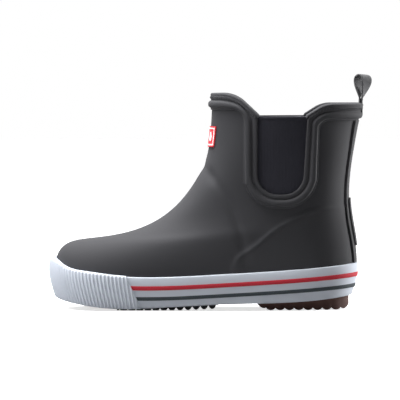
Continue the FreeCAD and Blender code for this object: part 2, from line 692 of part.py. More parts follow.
def heel_lift(share):
    """The heel block under the outsole: a sloped front, a lifted back edge and grooves across its foot."""
    block = new_body("heel_block")
    sketch = plane_sketch(block, "heel_profile", "XZ_Plane")
    polygon(sketch, [
        ("heel_front", "0"),
        ("heel_front + heel_length", "0"),
        ("heel_front + heel_length + heel_slope", "heel_toe_off"),
        ("heel_front + heel_length + heel_slope", "heel_root"),
        ("heel_front - heel_slope * heel_root / 6", "heel_root"),
    ])
    pad_both_ways(block, sketch, FAR)
    first = "heel_front + tread_bar + tread_gap / 2"
    groove = [
        (f"{first} - tread_gap / 2", "-1"),
        (f"{first} + tread_gap / 2", "-1"),
        (f"{first} + tread_gap / 3", "groove_depth"),
        (f"{first} - tread_gap / 3", "groove_depth"),
    ]
    grooved = cut("heel_grooved", block, bar_row("heel_grooves", groove, "groove_count"))
    return common("heel_lift", common("heel_land", grooved, share["welt"]), form(size("welt_reach")))


def inside_sole(share):
    """What lies inside the sidewall: midsole, filler, steel shank, insole board and loose footbed."""
    midsole = common("midsole", form(0), cut("midsole_land", share["sheet"], share["sole"]))
    reach = box("shank_reach", ("shank_middle - shank_length / 2", "-shank_width / 2", "-10"),
                ("shank_middle + shank_length / 2", "shank_width / 2", "60"))
    low = under("under_shank", SOLE_LINE, "midsole + (skin - shank) / 2")
    high = under("under_shank_top", SOLE_LINE, "midsole + (skin + shank) / 2")
    shank = cut("shank", common("shank_top", reach, high), low)
    filler_land = cut("filler_land", share["margin"], share["sheet"], shank)
    filler = common("sole_filler", sole_form(-size("lasting_margin") - size("fit_gap")), filler_land)
    board_land = cut("board_land", share["board"], share["margin"])
    board = common("insole_board", form(-size("skin") - size("fit_gap")), board_land)
    bed_inset = -size("skin") - size("lining") - size("footbed_gap")
    footbed = common("footbed", form(bed_inset), cut("footbed_land", share["bed"], share["board"]))
    return [midsole, filler, shank, board, footbed]


# ------------------------------------------------------------------------------------ the pull loop
def loop_tails(share):
    """The loop's two ends, sewn down between skin and lining and brought out over the collar's edge."""
    inside = -size("skin") - size("lining")
    sewn = across_middle("tails_reach", "loop_width", f"{REAR_TOP} - loop_tab", FAR)
    over = layer("tails_over_edge", size("rim_overhang"), inside,
                 common("tails_rim_land", share["over_edge"], sewn))
    down = layer("tails_in_lining", -size("skin"), inside, common("tails_land", share["collar"], sewn))
    return fuse("loop_tails", over, down)


def hinge_point():
    """Where the loop bends over: just above the rear collar's edge, over the middle of its thickness."""
    top = size("collar_height") - size("rear_drop")
    middle = (size("rim_overhang") - size("skin") - size("lining")) / 2
    return Vector(back_of_form(top) + middle, 0, top + size("loop_gap") + size("loop_foot"))


def loop_line(along):
    """A point on the loop's centre line and the line's angle there, from its front foot round to its rear."""
    rise = size("loop_rise") - size("loop_gap") - size("loop_foot") - size("loop_tape") / 2
    radius = size("loop_bulge") - size("loop_tape") / 2
    centre = rise - radius
    apart = size("loop_tape") / 2 + size("fit_gap")
    if along < LOOP_LEG or along > 1 - LOOP_LEG:
        up = min(along, 1 - along) / LOOP_LEG
        spread = up * up * (3 - 2 * up)
        across = apart + (radius - apart) * spread
        height = centre * up
        slope = math.atan2(centre, 6 * (radius - apart) * up * (1 - up))
        return (-across, height, math.pi - slope) if along < LOOP_LEG else (across, height, slope - math.pi)
    turn = math.pi * (along - LOOP_LEG) / (1 - 2 * LOOP_LEG)
    return -radius * math.cos(turn), centre + radius * math.sin(turn), math.pi / 2 - turn


def loop_share(height):
    """How much of its turn the loop has taken up at a height over its foot."""
    return max(0.0, min(1.0, (height - size("loop_foot")) / size("loop_twist")))


def pull_loop():
    """The loop of webbing: a tape swept up, round and down again, turning on itself as it rises."""
    wires = []
    for count in range(LOOP_STATIONS + 1):
        across, height, angle = loop_line(count / LOOP_STATIONS)
        out = Vector(-math.sin(angle), 0, math.cos(angle)) * (size("loop_tape") / 2)
        side = Vector(0, size("loop_width") / 2, 0)
        centre = Vector(across, 0, height)
        corners = [centre + out + side, centre + out - side, centre - out - side, centre - out + side]
        turn = FreeCAD.Rotation(Vector(0, 0, 1), -size("loop_turn") * loop_share(height))
        corners = [turn.multVec(corner) for corner in corners]
        wires.append(Part.makePolygon(corners + corners[:1]))
    tape = doc.addObject("Part::Feature", "loop_tape")
    tape.Shape = Part.makeLoft(wires, True, True)
    foot = doc.addObject("Part::Cylinder", "loop_foot")
    bind(foot, "Radius", "loop_foot")
    bind(foot, "Height", "loop_width + loop_tape / 4")
    foot.Placement.Rotation = FreeCAD.Rotation(Vector(1, 0, 0), 90)
    bind(foot, "Placement.Base.y", "(loop_width + loop_tape / 4) / 2")
    loop = fuse("pull_loop", tape, foot)
    loop.Placement = FreeCAD.Placement(hinge_point(), FreeCAD.Rotation(Vector(0, 1, 0), size("loop_lean")))
    return loop


# --------------------------------------------------------------------------------------- the build
def build():
    """Make every sub-part. Each feature's name is its label, and names its file."""
    share = cutters()
    tails = loop_tails(share)
    parts = upper(share) + lining_layers(share, tails) + elastic_web(share) + collar_trim(share)
    parts += rim_tapes(share, tails) + heel_overlays(share) + [front_label()]
    parts += sidewall(share) + [toe_bumper(share), outsole(share), heel_lift(share)]
    parts += inside_sole(share) + [tails, pull_loop()]
    return parts


def check_and_write(parts):
    """Stop on any failed feature or unsound solid, then write one file per sub-part."""
    doc.recompute()
    failed = [o.Name for o in doc.Objects if "Invalid" in o.State or "Error" in o.State]
    failed += [p.Name for p in parts if p.Shape.isNull() or not p.Shape.isValid() or not p.Shape.Solids]
    if failed:
        raise RuntimeError(f"failed: {failed}")
    os.makedirs("parts", exist_ok=True)
    for part in parts:
        part.Shape.exportStep(f"parts/{part.Label}.step")


check_and_write(build())
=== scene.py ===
import json
import logging
import math
from dataclasses import dataclass
from enum import Enum
from typing import Callable, Sequence

import bpy
import numpy as np
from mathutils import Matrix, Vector


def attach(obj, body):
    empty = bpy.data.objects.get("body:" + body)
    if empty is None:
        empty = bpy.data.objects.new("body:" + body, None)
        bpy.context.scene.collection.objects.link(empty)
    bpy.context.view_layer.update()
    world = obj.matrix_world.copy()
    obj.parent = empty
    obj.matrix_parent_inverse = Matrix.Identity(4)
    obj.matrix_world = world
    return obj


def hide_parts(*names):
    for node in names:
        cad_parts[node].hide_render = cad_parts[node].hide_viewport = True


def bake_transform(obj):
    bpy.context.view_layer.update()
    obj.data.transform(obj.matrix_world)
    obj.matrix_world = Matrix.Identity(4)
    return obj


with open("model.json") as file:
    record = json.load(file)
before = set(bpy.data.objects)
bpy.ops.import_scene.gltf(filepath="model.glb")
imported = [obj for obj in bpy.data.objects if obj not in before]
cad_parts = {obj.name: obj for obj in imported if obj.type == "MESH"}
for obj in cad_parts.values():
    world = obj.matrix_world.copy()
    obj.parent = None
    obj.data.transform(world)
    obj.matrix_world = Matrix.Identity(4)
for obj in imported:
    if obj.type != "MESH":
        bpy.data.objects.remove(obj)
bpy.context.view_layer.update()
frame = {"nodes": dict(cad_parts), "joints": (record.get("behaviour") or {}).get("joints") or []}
LOG = logging.getLogger("rain_boot")

MM = 0.001
LENGTH = 222.0  # of the form at its widest level, in millimetres like every size below
HEIGHT = 159.5  # of the collar in front
HALF_BALL = 38.5  # half the width across the ball of the foot
TOE_SWING = 6.0
LATERAL_LEAN = -1.5
# Each section: its front, its back (shares of length and height) and three half widths.
SECTIONS = (
    ((-0.455, -0.088), (0.423, -0.088), (0.890, 0.800, 0.720)),
    ((-0.487, 0.031), (0.453, 0.031), (0.955, 0.835, 0.755)),
    ((-0.511, 0.138), (0.478, 0.138), (1.000, 0.870, 0.805)),
    ((-0.515, 0.206), (0.484, 0.206), (0.977, 0.873, 0.808)),
    ((-0.501, 0.266), (0.482, 0.266), (0.888, 0.857, 0.802)),
    ((-0.464, 0.306), (0.477, 0.325), (0.769, 0.836, 0.800)),
    ((-0.396, 0.323), (0.470, 0.381), (0.665, 0.821, 0.803)),
    ((-0.306, 0.341), (0.463, 0.438), (0.639, 0.810, 0.808)),
    ((-0.207, 0.384), (0.458, 0.500), (0.649, 0.821, 0.813)),
    ((-0.119, 0.464), (0.458, 0.569), (0.688, 0.847, 0.813)),
    ((-0.050, 0.581), (0.463, 0.650), (0.743, 0.878, 0.800)),
    ((-0.011, 0.700), (0.474, 0.750), (0.795, 0.914, 0.785)),
    ((0.004, 0.844), (0.489, 0.863), (0.831, 0.961, 0.769)),
    ((0.009, 1.000), (0.517, 1.000), (0.862, 0.997, 0.795)),
    ((0.011, 1.113), (0.536, 1.113), (0.883, 1.023, 0.810)),
)
SWING_SECTIONS = 3.0  # sections below this one take the whole of the toe's swing
SWING_FADE = 6.0  # and it dies out over this many more
SOLE_LINE = ((-0.56, 14.2), (-0.482, 8.2), (-0.428, 5.4), (-0.306, 2.2), (-0.17, 2.6), (0.046, 4.8),
             (0.30, 6.8), (0.47, 11.4), (0.56, 15.2))
EDGE_LINE = ((-0.56, 42.0), (-0.513, 38.0), (-0.474, 32.2), (-0.413, 28.6), (-0.30, 25.7), (-0.183, 24.9),
             (0.016, 26.6), (0.237, 29.5), (0.40, 32.4), (0.56, 36.4))
VAMP_LINE = ((-0.15, 0.92), (-0.02, 0.653), (0.046, 0.515), (0.085, 0.387), (0.104, 0.301), (0.104, 0.10))
COUNTER_LINE = ((0.0, -0.20), (0.081, 0.226), (0.123, 0.281), (0.20, 0.366), (0.30, 0.446), (0.355, 0.473),
                (0.43, 0.478), (0.60, 0.470))
Grid = np.ndarray


# ------------------------------------------------------------------------------------ smooth lines
class SmoothLine:
    """A natural cubic through values given at knots, for one column or many."""

    def __init__(self, knots: Sequence[float]) -> None:
        """Work out what turns values into second derivatives.

        Args:
            knots: where the values stand, rising.
        """
        self.knots = np.asarray(knots, float)
        count, gap = len(self.knots), np.diff(self.knots)
        left, right = np.eye(count), np.zeros((count, count))
        for i in range(1, count - 1):
            left[i, i - 1:i + 2] = gap[i - 1] / 6, (gap[i - 1] + gap[i]) / 3, gap[i] / 6
            right[i, i - 1:i + 2] = 1 / gap[i - 1], -1 / gap[i - 1] - 1 / gap[i], 1 / gap[i]
        self.curl = np.linalg.solve(left, right)

    def weights(self, at: Grid) -> Grid:
        """Weight of each knot's value at each place.

        Args:
            at: places along the knots, as a flat array.

        Returns:
            One row of weights a place.
        """
        at = np.clip(at, self.knots[0], self.knots[-1])
        low = np.clip(np.searchsorted(self.knots, at, side="right") - 1, 0, len(self.knots) - 2)
        gap = self.knots[low + 1] - self.knots[low]
        up = (at - self.knots[low]) / gap
        down = 1 - up
        out = (self.curl[low] * ((down ** 3 - down) * gap ** 2 / 6)[:, None]
               + self.curl[low + 1] * ((up ** 3 - up) * gap ** 2 / 6)[:, None])
        rows = np.arange(len(at))
        out[rows, low] += down
        out[rows, low + 1] += up
        return out


class SideLine:
    """A height that depends on how far along the boot one stands."""

    def __init__(self, points: Sequence[tuple[float, float]], high: float = 1.0) -> None:
        """Keep the line.

        Args:
            points: (share of length, height) pairs, rising along the boot.
            high: what the heights are multiplied by.
        """
        self.line = SmoothLine([p[0] * LENGTH for p in points])
        self.heights = np.array([p[1] * high for p in points])

    def __call__(self, along: Grid) -> Grid:
        """Height of the line at each place along the boot."""
        flat = np.ravel(along)
        return (self.line.weights(flat) @ self.heights).reshape(np.shape(along))


SOLE = SideLine(SOLE_LINE)
EDGE = SideLine(EDGE_LINE)
COUNTER = SideLine(COUNTER_LINE, HEIGHT)


def rounded(corners: Sequence[tuple[float, float, float]], step: float = 1.0) -> Grid:
    """A side-view line with rounded corners.

    Args:
        corners: (x, z, radius) of each corner; the end ones have no radius.
        step: about how far apart the points are.

    Returns:
        The points, one a row.
    """
    points: list[np.ndarray] = [np.array(corners[0][:2])]
    for before, here, after in zip(corners, corners[1:], corners[2:]):
        middle = np.array(here[:2])
        back, ahead = np.array(before[:2]) - middle, np.array(after[:2]) - middle
        back, ahead = back / np.linalg.norm(back), ahead / np.linalg.norm(ahead)
        half = math.acos(float(np.clip(back @ ahead, -1, 1))) / 2
        reach = here[2] / math.tan(half)
        centre = middle + (back + ahead) / np.linalg.norm(back + ahead) * here[2] / math.sin(half)
        start, end = middle + back * reach - centre, middle + ahead * reach - centre
        sweep = math.atan2(start[0] * end[1] - start[1] * end[0], float(start @ end))
        count = max(2, int(abs(sweep) * here[2] / step) + 1)
        for i in range(count + 1):
            turn = sweep * i / count
            c, s = math.cos(turn), math.sin(turn)
            points.append(centre + np.array([c * start[0] - s * start[1], s * start[0] + c * start[1]]))
    points.append(np.array(corners[-1][:2]))
    return evenly(np.array(points), step)


def evenly(points: Grid, step: float) -> Grid:
    """The same line with its points about a step apart.

    Args:
        points: the line's points, one a row.
        step: how far apart the new ones are.

    Returns:
        The new points.
    """
    run = np.concatenate([[0], np.cumsum(np.linalg.norm(np.diff(points, axis=0), axis=1))])
    at = np.linspace(0, run[-1], max(2, int(run[-1] / step) + 1))
    return np.stack([np.interp(at, run, points[:, k]) for k in range(points.shape[1])], axis=1)


# ------------------------------------------------------------------------------------ the boot form
class BootForm:
    """The boot's outside as one smooth surface: level 0 under the foot to 1 above the collar, and a turn
    that is 0 at the toe, a quarter turn on the lateral side, and half a turn at the heel."""

    def __init__(self) -> None:
        """Space the sections by how far apart they are on the average."""
        rings = self.rings(np.linspace(0, 2 * math.pi, 24, endpoint=False))
        gaps = np.linalg.norm(np.diff(rings, axis=0), axis=2).mean(axis=1)
        knots = np.concatenate([[0], np.cumsum(gaps)])
        self.line = SmoothLine(knots / knots[-1])
        self.ends = np.array([[*front, *back] for front, back, _ in SECTIONS])
        self.ends *= np.array([LENGTH, HEIGHT, LENGTH, HEIGHT])

    @staticmethod
    def rings(turns: Grid) -> Grid:
        """Where every section stands at each turn, as (section, turn, xyz).

        Args:
            turns: angles round the boot.

        Returns:
            The points.
        """
        cos, sin = np.cos(turns), np.sin(turns)
        share = (1 - cos) / 2
        out = np.zeros((len(SECTIONS), len(turns), 3))
        for i, (front, back, widths) in enumerate(SECTIONS):
            quarter, middle, rear = (w * HALF_BALL for w in widths)
            full, hind = quarter / math.sqrt(0.75) - middle, rear / 0.8 - middle
            square = (hind + 1.2 * full) / 0.66
            linear = 2 * (full - 0.25 * square)
            bend = min(1.0, max(0.0, 1 - (i - SWING_SECTIONS) / SWING_FADE))
            swing = bend * (TOE_SWING * np.maximum(0, cos) ** 2 + LATERAL_LEAN)
            out[i, :, 0] = LENGTH * (front[0] + (back[0] - front[0]) * share)
            out[i, :, 1] = swing - sin * (middle + linear * cos + square * cos * cos)
            out[i, :, 2] = HEIGHT * (front[1] + (back[1] - front[1]) * share)
        return out

    def bare(self, levels: Grid, turns: Grid) -> Grid:
        """Points on the form at flat arrays of levels and turns."""
        return np.einsum("ni,inx->nx", self.line.weights(levels), self.rings(turns))

    def points(self, levels: Grid, turns: Grid, lift: Grid | float = 0.0) -> Grid:
        """Points on the form, lifted off it along its normals.

        Args:
            levels: level of each point.
            turns: turn of each point, of the same shape.
            lift: how far each stands off the form.

        Returns:
            An array with the points in its last axis.
        """
        shape = np.shape(levels)
        level, turn = np.ravel(levels), np.ravel(turns)
        small = 0.002
        round_it = self.bare(level, turn + small) - self.bare(level, turn - small)
        up = self.bare(np.minimum(level + small, 1), turn) - self.bare(np.maximum(level - small, 0), turn)
        normal = np.cross(round_it, up)
        normal /= np.linalg.norm(normal, axis=1)[:, None]
        out = self.bare(level, turn) + normal * np.ravel(np.broadcast_to(lift, shape))[:, None]
        return out.reshape(*shape, 3)

    def levels(self, turns: Grid, height: Grid | Callable[[Grid], Grid]) -> Grid:
        """The level at which the form passes a height, at each turn.

        Args:
            turns: the turns.
            height: a height for each, or a line that gives the height from the place along the boot.

        Returns:
            The levels, in the turns' shape.
        """
        turn = np.ravel(turns)
        share = (1 - np.cos(turn)) / 2
        low, high = np.zeros(len(turn)), np.ones(len(turn))
        for _ in range(26):
            middle = (low + high) / 2
            ends = self.line.weights(middle) @ self.ends
            x = ends[:, 0] + (ends[:, 2] - ends[:, 0]) * share
            z = ends[:, 1] + (ends[:, 3] - ends[:, 1]) * share
            over = z > (height(x) if callable(height) else np.ravel(height))
            high, low = np.where(over, middle, high), np.where(over, low, middle)
        return ((low + high) / 2).reshape(np.shape(turns))

    def turns(self, side: Grid) -> Grid:
        """The turn on the lateral side of each point of a side-view line.

        Args:
            side: (x, z) rows.

        Returns:
            Their turns, from 0 to a half turn.
        """
        x, z = side[:, 0], side[:, 1]
        low, high = np.zeros(len(x)), np.ones(len(x))
        for _ in range(26):
            middle = (low + high) / 2
            ends = self.line.weights(middle) @ self.ends
            share = np.clip((x - ends[:, 0]) / (ends[:, 2] - ends[:, 0]), 0, 1)
            over = ends[:, 1] + (ends[:, 3] - ends[:, 1]) * share > z
            high, low = np.where(over, middle, high), np.where(over, low, middle)
        return np.arccos(1 - 2 * share)

    def girth(self, height: Grid | Callable[[Grid], Grid], start: float, end: float, step: float,
              lift: float = 0.0) -> Grid:
        """Turns that stand a step apart along the form at a height.

        Args:
            height: the height, or a line that gives it.
            start: first turn.
            end: last turn.
            step: how far apart they stand.
            lift: how far off the form the step is measured.

        Returns:
            The turns.
        """
        turn = np.linspace(start, end, 1500)
        at = height if callable(height) else np.full(len(turn), height)
        line = self.points(self.levels(turn, at), turn, lift)
        run = np.concatenate([[0], np.cumsum(np.linalg.norm(np.diff(line, axis=0), axis=1))])
        return np.interp(np.linspace(0, run[-1], int(run[-1] / step) + 1), run, turn)


FORM = BootForm()


# ---------------------------------------------------------------------------------------- finishes
class Nodes:
    """A material's node tree while it is being wired."""

    def __init__(self, name: str) -> None:
        """Start a material that holds a shader and nothing else.

        Args:
            name: the material's name.
        """
        self.material = bpy.data.materials.new(name)
        self.material.use_nodes = True
        self.tree = self.material.node_tree
        self.shader = self.tree.nodes["Principled BSDF"]

    def add(self, kind: str, **values: object) -> bpy.types.Node:
        """A node with some of its settings or sockets set.

        Args:
            kind: the node's type, without its ShaderNode prefix.
            values: settings by name; a name in capitals is a socket's, with _ for a blank.

        Returns:
            The node.
        """
        node = self.tree.nodes.new("ShaderNode" + kind)
        for key, value in values.items():
            if key[0].isupper():
                node.inputs[key.replace("_", " ")].default_value = value
            else:
                setattr(node, key, value)
        return node

    def link(self, source: bpy.types.NodeSocket, target: bpy.types.NodeSocket) -> None:
        """Wire one socket to another."""
        self.tree.links.new(source, target)

    def where(self, uv: bool = False) -> bpy.types.NodeSocket:
        """The coordinates that patterns read."""
        return self.add("TexCoord").outputs["UV" if uv else "Object"]

    def noise(self, scale: float, detail: float = 3.0, uv: bool = False) -> bpy.types.NodeSocket:
        """A noise on the piece, as many waves a metre as its scale."""
        node = self.add("TexNoise", Scale=scale, Detail=detail)
        self.link(self.where(uv), node.inputs["Vector"])
        return node.outputs["Fac"]

    def spread(self, source: bpy.types.NodeSocket, low: float, high: float, start: float = 0.3,
               end: float = 0.7) -> bpy.types.NodeSocket:
        """A pattern's value spread over a range.

        Args:
            source: the pattern.
            low: what its start gives.
            high: what its end gives.
            start: the value it starts from.
            end: the value it ends at.

        Returns:
            The spread value.
        """
        node = self.add("MapRange")
        for socket, value in zip(("From Min", "From Max", "To Min", "To Max"), (start, end, low, high)):
            node.inputs[socket].default_value = value
        self.link(source, node.inputs["Value"])
        return node.outputs["Result"]

    def mix(self, share: bpy.types.NodeSocket, first: Sequence[float], second: Sequence[float]
            ) -> bpy.types.NodeSocket:
        """One colour turning into another as a pattern rises.

        Args:
            share: the pattern.
            first: the colour where it is 0.
            second: the colour where it is 1.

        Returns:
            The colour's socket.
        """
        node = self.add("Mix", data_type="RGBA")
        self.link(share, node.inputs["Factor"])
        node.inputs["A"].default_value = (*first, 1)
        node.inputs["B"].default_value = (*second, 1)
        return node.outputs[2]

    def bump(self, source: bpy.types.NodeSocket, depth: float, strength: float = 1.0) -> None:
        """Raise the surface by a pattern, on top of what raises it already.

        Args:
            source: the pattern.
            depth: its height, in metres.
            strength: how much of it shows.
        """
        node = self.add("Bump", Strength=strength, Distance=depth)
        self.link(source, node.inputs["Height"])
        before = self.shader.inputs["Normal"]
        if before.links:
            self.link(before.links[0].from_socket, node.inputs["Normal"])
        self.link(node.outputs["Normal"], before)


@dataclass(frozen=True)
class Rubber:
    """Moulded or dipped rubber: a cloudy colour, uneven gloss, and a fine skin."""

    name: str
    colour: tuple[float, float, float]
    cloud: tuple[float, float, float]
    gloss: tuple[float, float] = (0.36, 0.46)
    grain: float = 900.0
    grain_depth: float = 0.00006
    swell_depth: float = 0.0
    shine: float = 0.5

    def made(self) -> bpy.types.Material:
        """The material, made once.

        Returns:
            The material.
        """
        found = bpy.data.materials.get(self.name)
        if found:
            return found
        nodes = Nodes(self.name)
        shader = nodes.shader
        shader.inputs["Specular IOR Level"].default_value = self.shine
        nodes.link(nodes.mix(nodes.spread(nodes.noise(45.0, 5.0), 0, 1), self.colour, self.cloud),
                   shader.inputs["Base Color"])
        nodes.link(nodes.spread(nodes.noise(60.0, 6.0), *self.gloss), shader.inputs["Roughness"])
        nodes.bump(nodes.noise(self.grain, 4.0), self.grain_depth, 0.6)
        if self.swell_depth:
            nodes.bump(nodes.noise(28.0, 1.0), self.swell_depth, 0.5)
        return nodes.material


class Weave(Enum):
    """How a cloth's threads run."""

    RIB = "rib"
    KNIT = "knit"
    HERRINGBONE = "herringbone"


@dataclass(frozen=True)
class Cloth:
    """Woven or knitted cloth, whose pattern follows the piece's own UV map, in metres."""

    name: str
    colour: tuple[float, float, float]
    thread: tuple[float, float, float]
    weave: Weave
    pitch: float
    depth: float = 0.0002

    def made(self) -> bpy.types.Material:
        """The material, made once.

        Returns:
            The material.
        """
        found = bpy.data.materials.get(self.name)
        if found:
            return found
        nodes = Nodes(self.name)
        shader = nodes.shader
        shader.inputs["Sheen Weight"].default_value = 0.04
        shader.inputs["Sheen Roughness"].default_value = 0.5
        shader.inputs["Roughness"].default_value = 0.9
        shader.inputs["Specular IOR Level"].default_value = 0.25
        across = self.wave(nodes, "X", 1.0, 0.6)
        along = self.wave(nodes, "Y", 1.0 if self.weave is Weave.KNIT else 0.45,
                           4.0 if self.weave is Weave.HERRINGBONE else 1.5)
        both = nodes.add("Math", operation="MULTIPLY")
        nodes.link(across, both.inputs[0])
        nodes.link(along, both.inputs[1])
        cloudy = nodes.add("Math", operation="MULTIPLY")
        nodes.link(both.outputs[0], cloudy.inputs[0])
        nodes.link(nodes.spread(nodes.noise(350.0, 4.0, uv=True), 0.6, 1.3), cloudy.inputs[1])
        nodes.link(nodes.mix(cloudy.outputs[0], self.colour, self.thread), shader.inputs["Base Color"])
        nodes.bump(both.outputs[0], self.depth, 0.9)
        nodes.bump(nodes.noise(2500.0, 2.0, uv=True), self.depth / 3, 0.5)
        return nodes.material

    def wave(self, nodes: Nodes, axis: str, share: float, wander: float) -> bpy.types.NodeSocket:
        """Threads side by side along one axis.

        Args:
            nodes: the tree.
            axis: X or Y of the UV map.
            share: their pitch as a share of the cloth's.
            wander: how far they stray.

        Returns:
            The pattern.
        """
        node = nodes.add("TexWave", bands_direction=axis, Scale=1 / (self.pitch * share) / 3.18,
                         Distortion=wander, Detail=1.0, Detail_Scale=2.0)
        nodes.link(nodes.where(uv=True), node.inputs["Vector"])
        return node.outputs["Fac"]


UPPER_RUBBER = Rubber("upper_rubber", (0.0050, 0.0050, 0.0066), (0.0085, 0.0085, 0.0110), (0.24, 0.32),
                      grain_depth=0.00004, swell_depth=0.0012, shine=0.5)
TRIM_RUBBER = Rubber("trim_rubber", (0.0045, 0.0045, 0.0050), (0.0065, 0.0065, 0.0070), (0.36, 0.48),
                     shine=0.5)
SIDEWALL_RUBBER = Rubber("foxing_rubber", (0.66, 0.67, 0.72), (0.72, 0.73, 0.78), (0.42, 0.55),
                         700.0, 0.00005)
RED_RUBBER = Rubber("stripe_red", (0.44, 0.012, 0.022), (0.52, 0.018, 0.03), (0.38, 0.5))
DARK_RUBBER = Rubber("stripe_dark", (0.022, 0.028, 0.032), (0.032, 0.038, 0.042), (0.4, 0.5))
TREAD_RUBBER = Rubber("outsole_rubber", (0.010, 0.010, 0.012), (0.022, 0.021, 0.022), (0.5, 0.65),
                      500.0, 0.00009)
HEEL_RUBBER = Rubber("heel_rubber", (0.085, 0.034, 0.022), (0.130, 0.054, 0.034), (0.5, 0.65), 500.0, 0.00009)
MIDSOLE_FOAM = Rubber("midsole_rubber", (0.10, 0.10, 0.11), (0.14, 0.14, 0.15), (0.6, 0.8), 400.0, 0.0001)
STIFFENER = Rubber("stiffener", (0.12, 0.11, 0.10), (0.18, 0.16, 0.14), (0.6, 0.8), 600.0)
CORK = Rubber("filler_cork", (0.30, 0.17, 0.09), (0.42, 0.27, 0.15), (0.7, 0.9), 350.0, 0.0002)
SHANK_STEEL = Rubber("shank_steel", (0.45, 0.45, 0.47), (0.55, 0.55, 0.57), (0.3, 0.4), 900.0)
BOARD = Rubber("board_fibre", (0.42, 0.34, 0.24), (0.50, 0.42, 0.31), (0.7, 0.9), 700.0, 0.0001)
LABEL_RED = Rubber("label_red", (0.46, 0.012, 0.022), (0.52, 0.016, 0.028), (0.35, 0.45))
LABEL_WHITE = Rubber("label_white", (0.80, 0.80, 0.81), (0.86, 0.86, 0.87), (0.35, 0.45))
THREAD = Rubber("stitch_thread", (0.030, 0.030, 0.034), (0.055, 0.055, 0.060), (0.6, 0.8), 2500.0, 0.0001)
ELASTIC = Cloth("elastic_web", (0.0020, 0.0020, 0.0030), (0.008, 0.008, 0.013), Weave.RIB, 0.0011)
LINING = Cloth("lining_knit", (0.020, 0.020, 0.024), (0.060, 0.060, 0.068), Weave.KNIT, 0.0012, 0.0003)
FOOTBED_CLOTH = Cloth("footbed_foam", (0.030, 0.030, 0.034), (0.080, 0.080, 0.088), Weave.KNIT,
                      0.0010, 0.0003)
WEBBING = Cloth("webbing", (0.028, 0.028, 0.030), (0.125, 0.125, 0.130), Weave.HERRINGBONE, 0.0012, 0.0003)


# ------------------------------------------------------------------------------ modelling
def modelled(name: str, where: Grid, closed: bool = False, stretch: Grid | None = None, hollow: bool = True
             ) -> bpy.types.Object:
    """A panel of quads: a plane grid, cut as finely as asked, with each of its corners put in place.

    Args:
        name: the piece's name.
        where: (rows, columns, xyz) in millimetres; the outside is seen with rows going up and columns right.
        closed: whether the last column meets the first.
        stretch: (rows, columns, 2) places on the cloth in millimetres, or none to measure them.
        hollow: whether it is left open; if not, its last row is joined to its first, and its ends are capped.

    Returns:
        The piece, with a UV map in metres.
    """
    if not hollow:
        where = np.concatenate([where, where[:1]])
    rows, columns = where.shape[:2]
    bpy.ops.object.select_all(action="DESELECT")
    bpy.ops.mesh.primitive_grid_add(x_subdivisions=columns - 1, y_subdivisions=rows - 1, size=1.0)
    piece = bpy.context.object
    piece.name = piece.data.name = name
    mesh = piece.data
    flat = np.zeros(len(mesh.vertices) * 3)
    mesh.vertices.foreach_get("co", flat)
    flat = flat.reshape(-1, 3)
    column = np.rint((flat[:, 0] + 0.5) * (columns - 1)).astype(int)
    row = np.rint((flat[:, 1] + 0.5) * (rows - 1)).astype(int)
    mesh.vertices.foreach_set("co", (where[row, column] * MM).ravel())
    if stretch is None:
        across = np.linalg.norm(np.diff(where, axis=1), axis=2)
        up = np.linalg.norm(np.diff(where, axis=0), axis=2)
        stretch = np.zeros((rows, columns, 2))
        stretch[:, 1:, 0] = np.cumsum(across.mean(axis=0))[None]
        stretch[1:, :, 1] = np.cumsum(up.mean(axis=1))[:, None]
    corner = np.zeros(len(mesh.loops), np.int32)
    mesh.loops.foreach_get("vertex_index", corner)
    layer = mesh.uv_layers.active or mesh.uv_layers.new(name="UVMap")
    layer.data.foreach_set("uv", (stretch[row[corner], column[corner]] * MM).ravel())
    mesh.update()
    if closed or not hollow:
        in_edit(piece, lambda: bpy.ops.mesh.remove_doubles(threshold=1e-6))
    if not hollow:
        in_edit(piece, lambda: bpy.ops.mesh.fill_holes(sides=0))
    return piece


def in_edit(piece: bpy.types.Object, work: Callable[[], object]) -> None:
    """Work on the whole of a piece in edit mode.

    Args:
        piece: the piece.
        work: what is done to it there.
    """
    bpy.ops.object.select_all(action="DESELECT")
    piece.select_set(True)
    bpy.context.view_layer.objects.active = piece
    bpy.ops.object.mode_set(mode="EDIT")
    bpy.ops.mesh.select_all(action="SELECT")
    work()
    bpy.ops.object.mode_set(mode="OBJECT")


def apply(piece: bpy.types.Object, kind: str, **values: object) -> None:
    """Give a piece a modifier and apply it.

    Args:
        piece: the piece.
        kind: the modifier's type.
        values: its settings.
    """
    bpy.ops.object.select_all(action="DESELECT")
    piece.select_set(True)
    bpy.context.view_layer.objects.active = piece
    modifier = piece.modifiers.new(kind.lower(), kind)
    for key, value in values.items():
        setattr(modifier, key, value)
    bpy.ops.object.modifier_apply(modifier=modifier.name)


def thick(piece: bpy.types.Object, wall: float, even: bool = True) -> None:
    """Give a panel a wall on its inside."""
    apply(piece, "SOLIDIFY", thickness=wall * MM, offset=-1.0, use_even_offset=even, use_quality_normals=even)


def smooth(piece: bpy.types.Object, angle: float = 40.0) -> None:
    """Shade a piece smooth but for its sharp edges.

    Args:
        piece: the piece.
        angle: the least angle of a sharp edge, in degrees.
    """
    bpy.ops.object.select_all(action="DESELECT")
    piece.select_set(True)
    bpy.context.view_layer.objects.active = piece
    bpy.ops.object.shade_smooth_by_angle(angle=math.radians(angle))


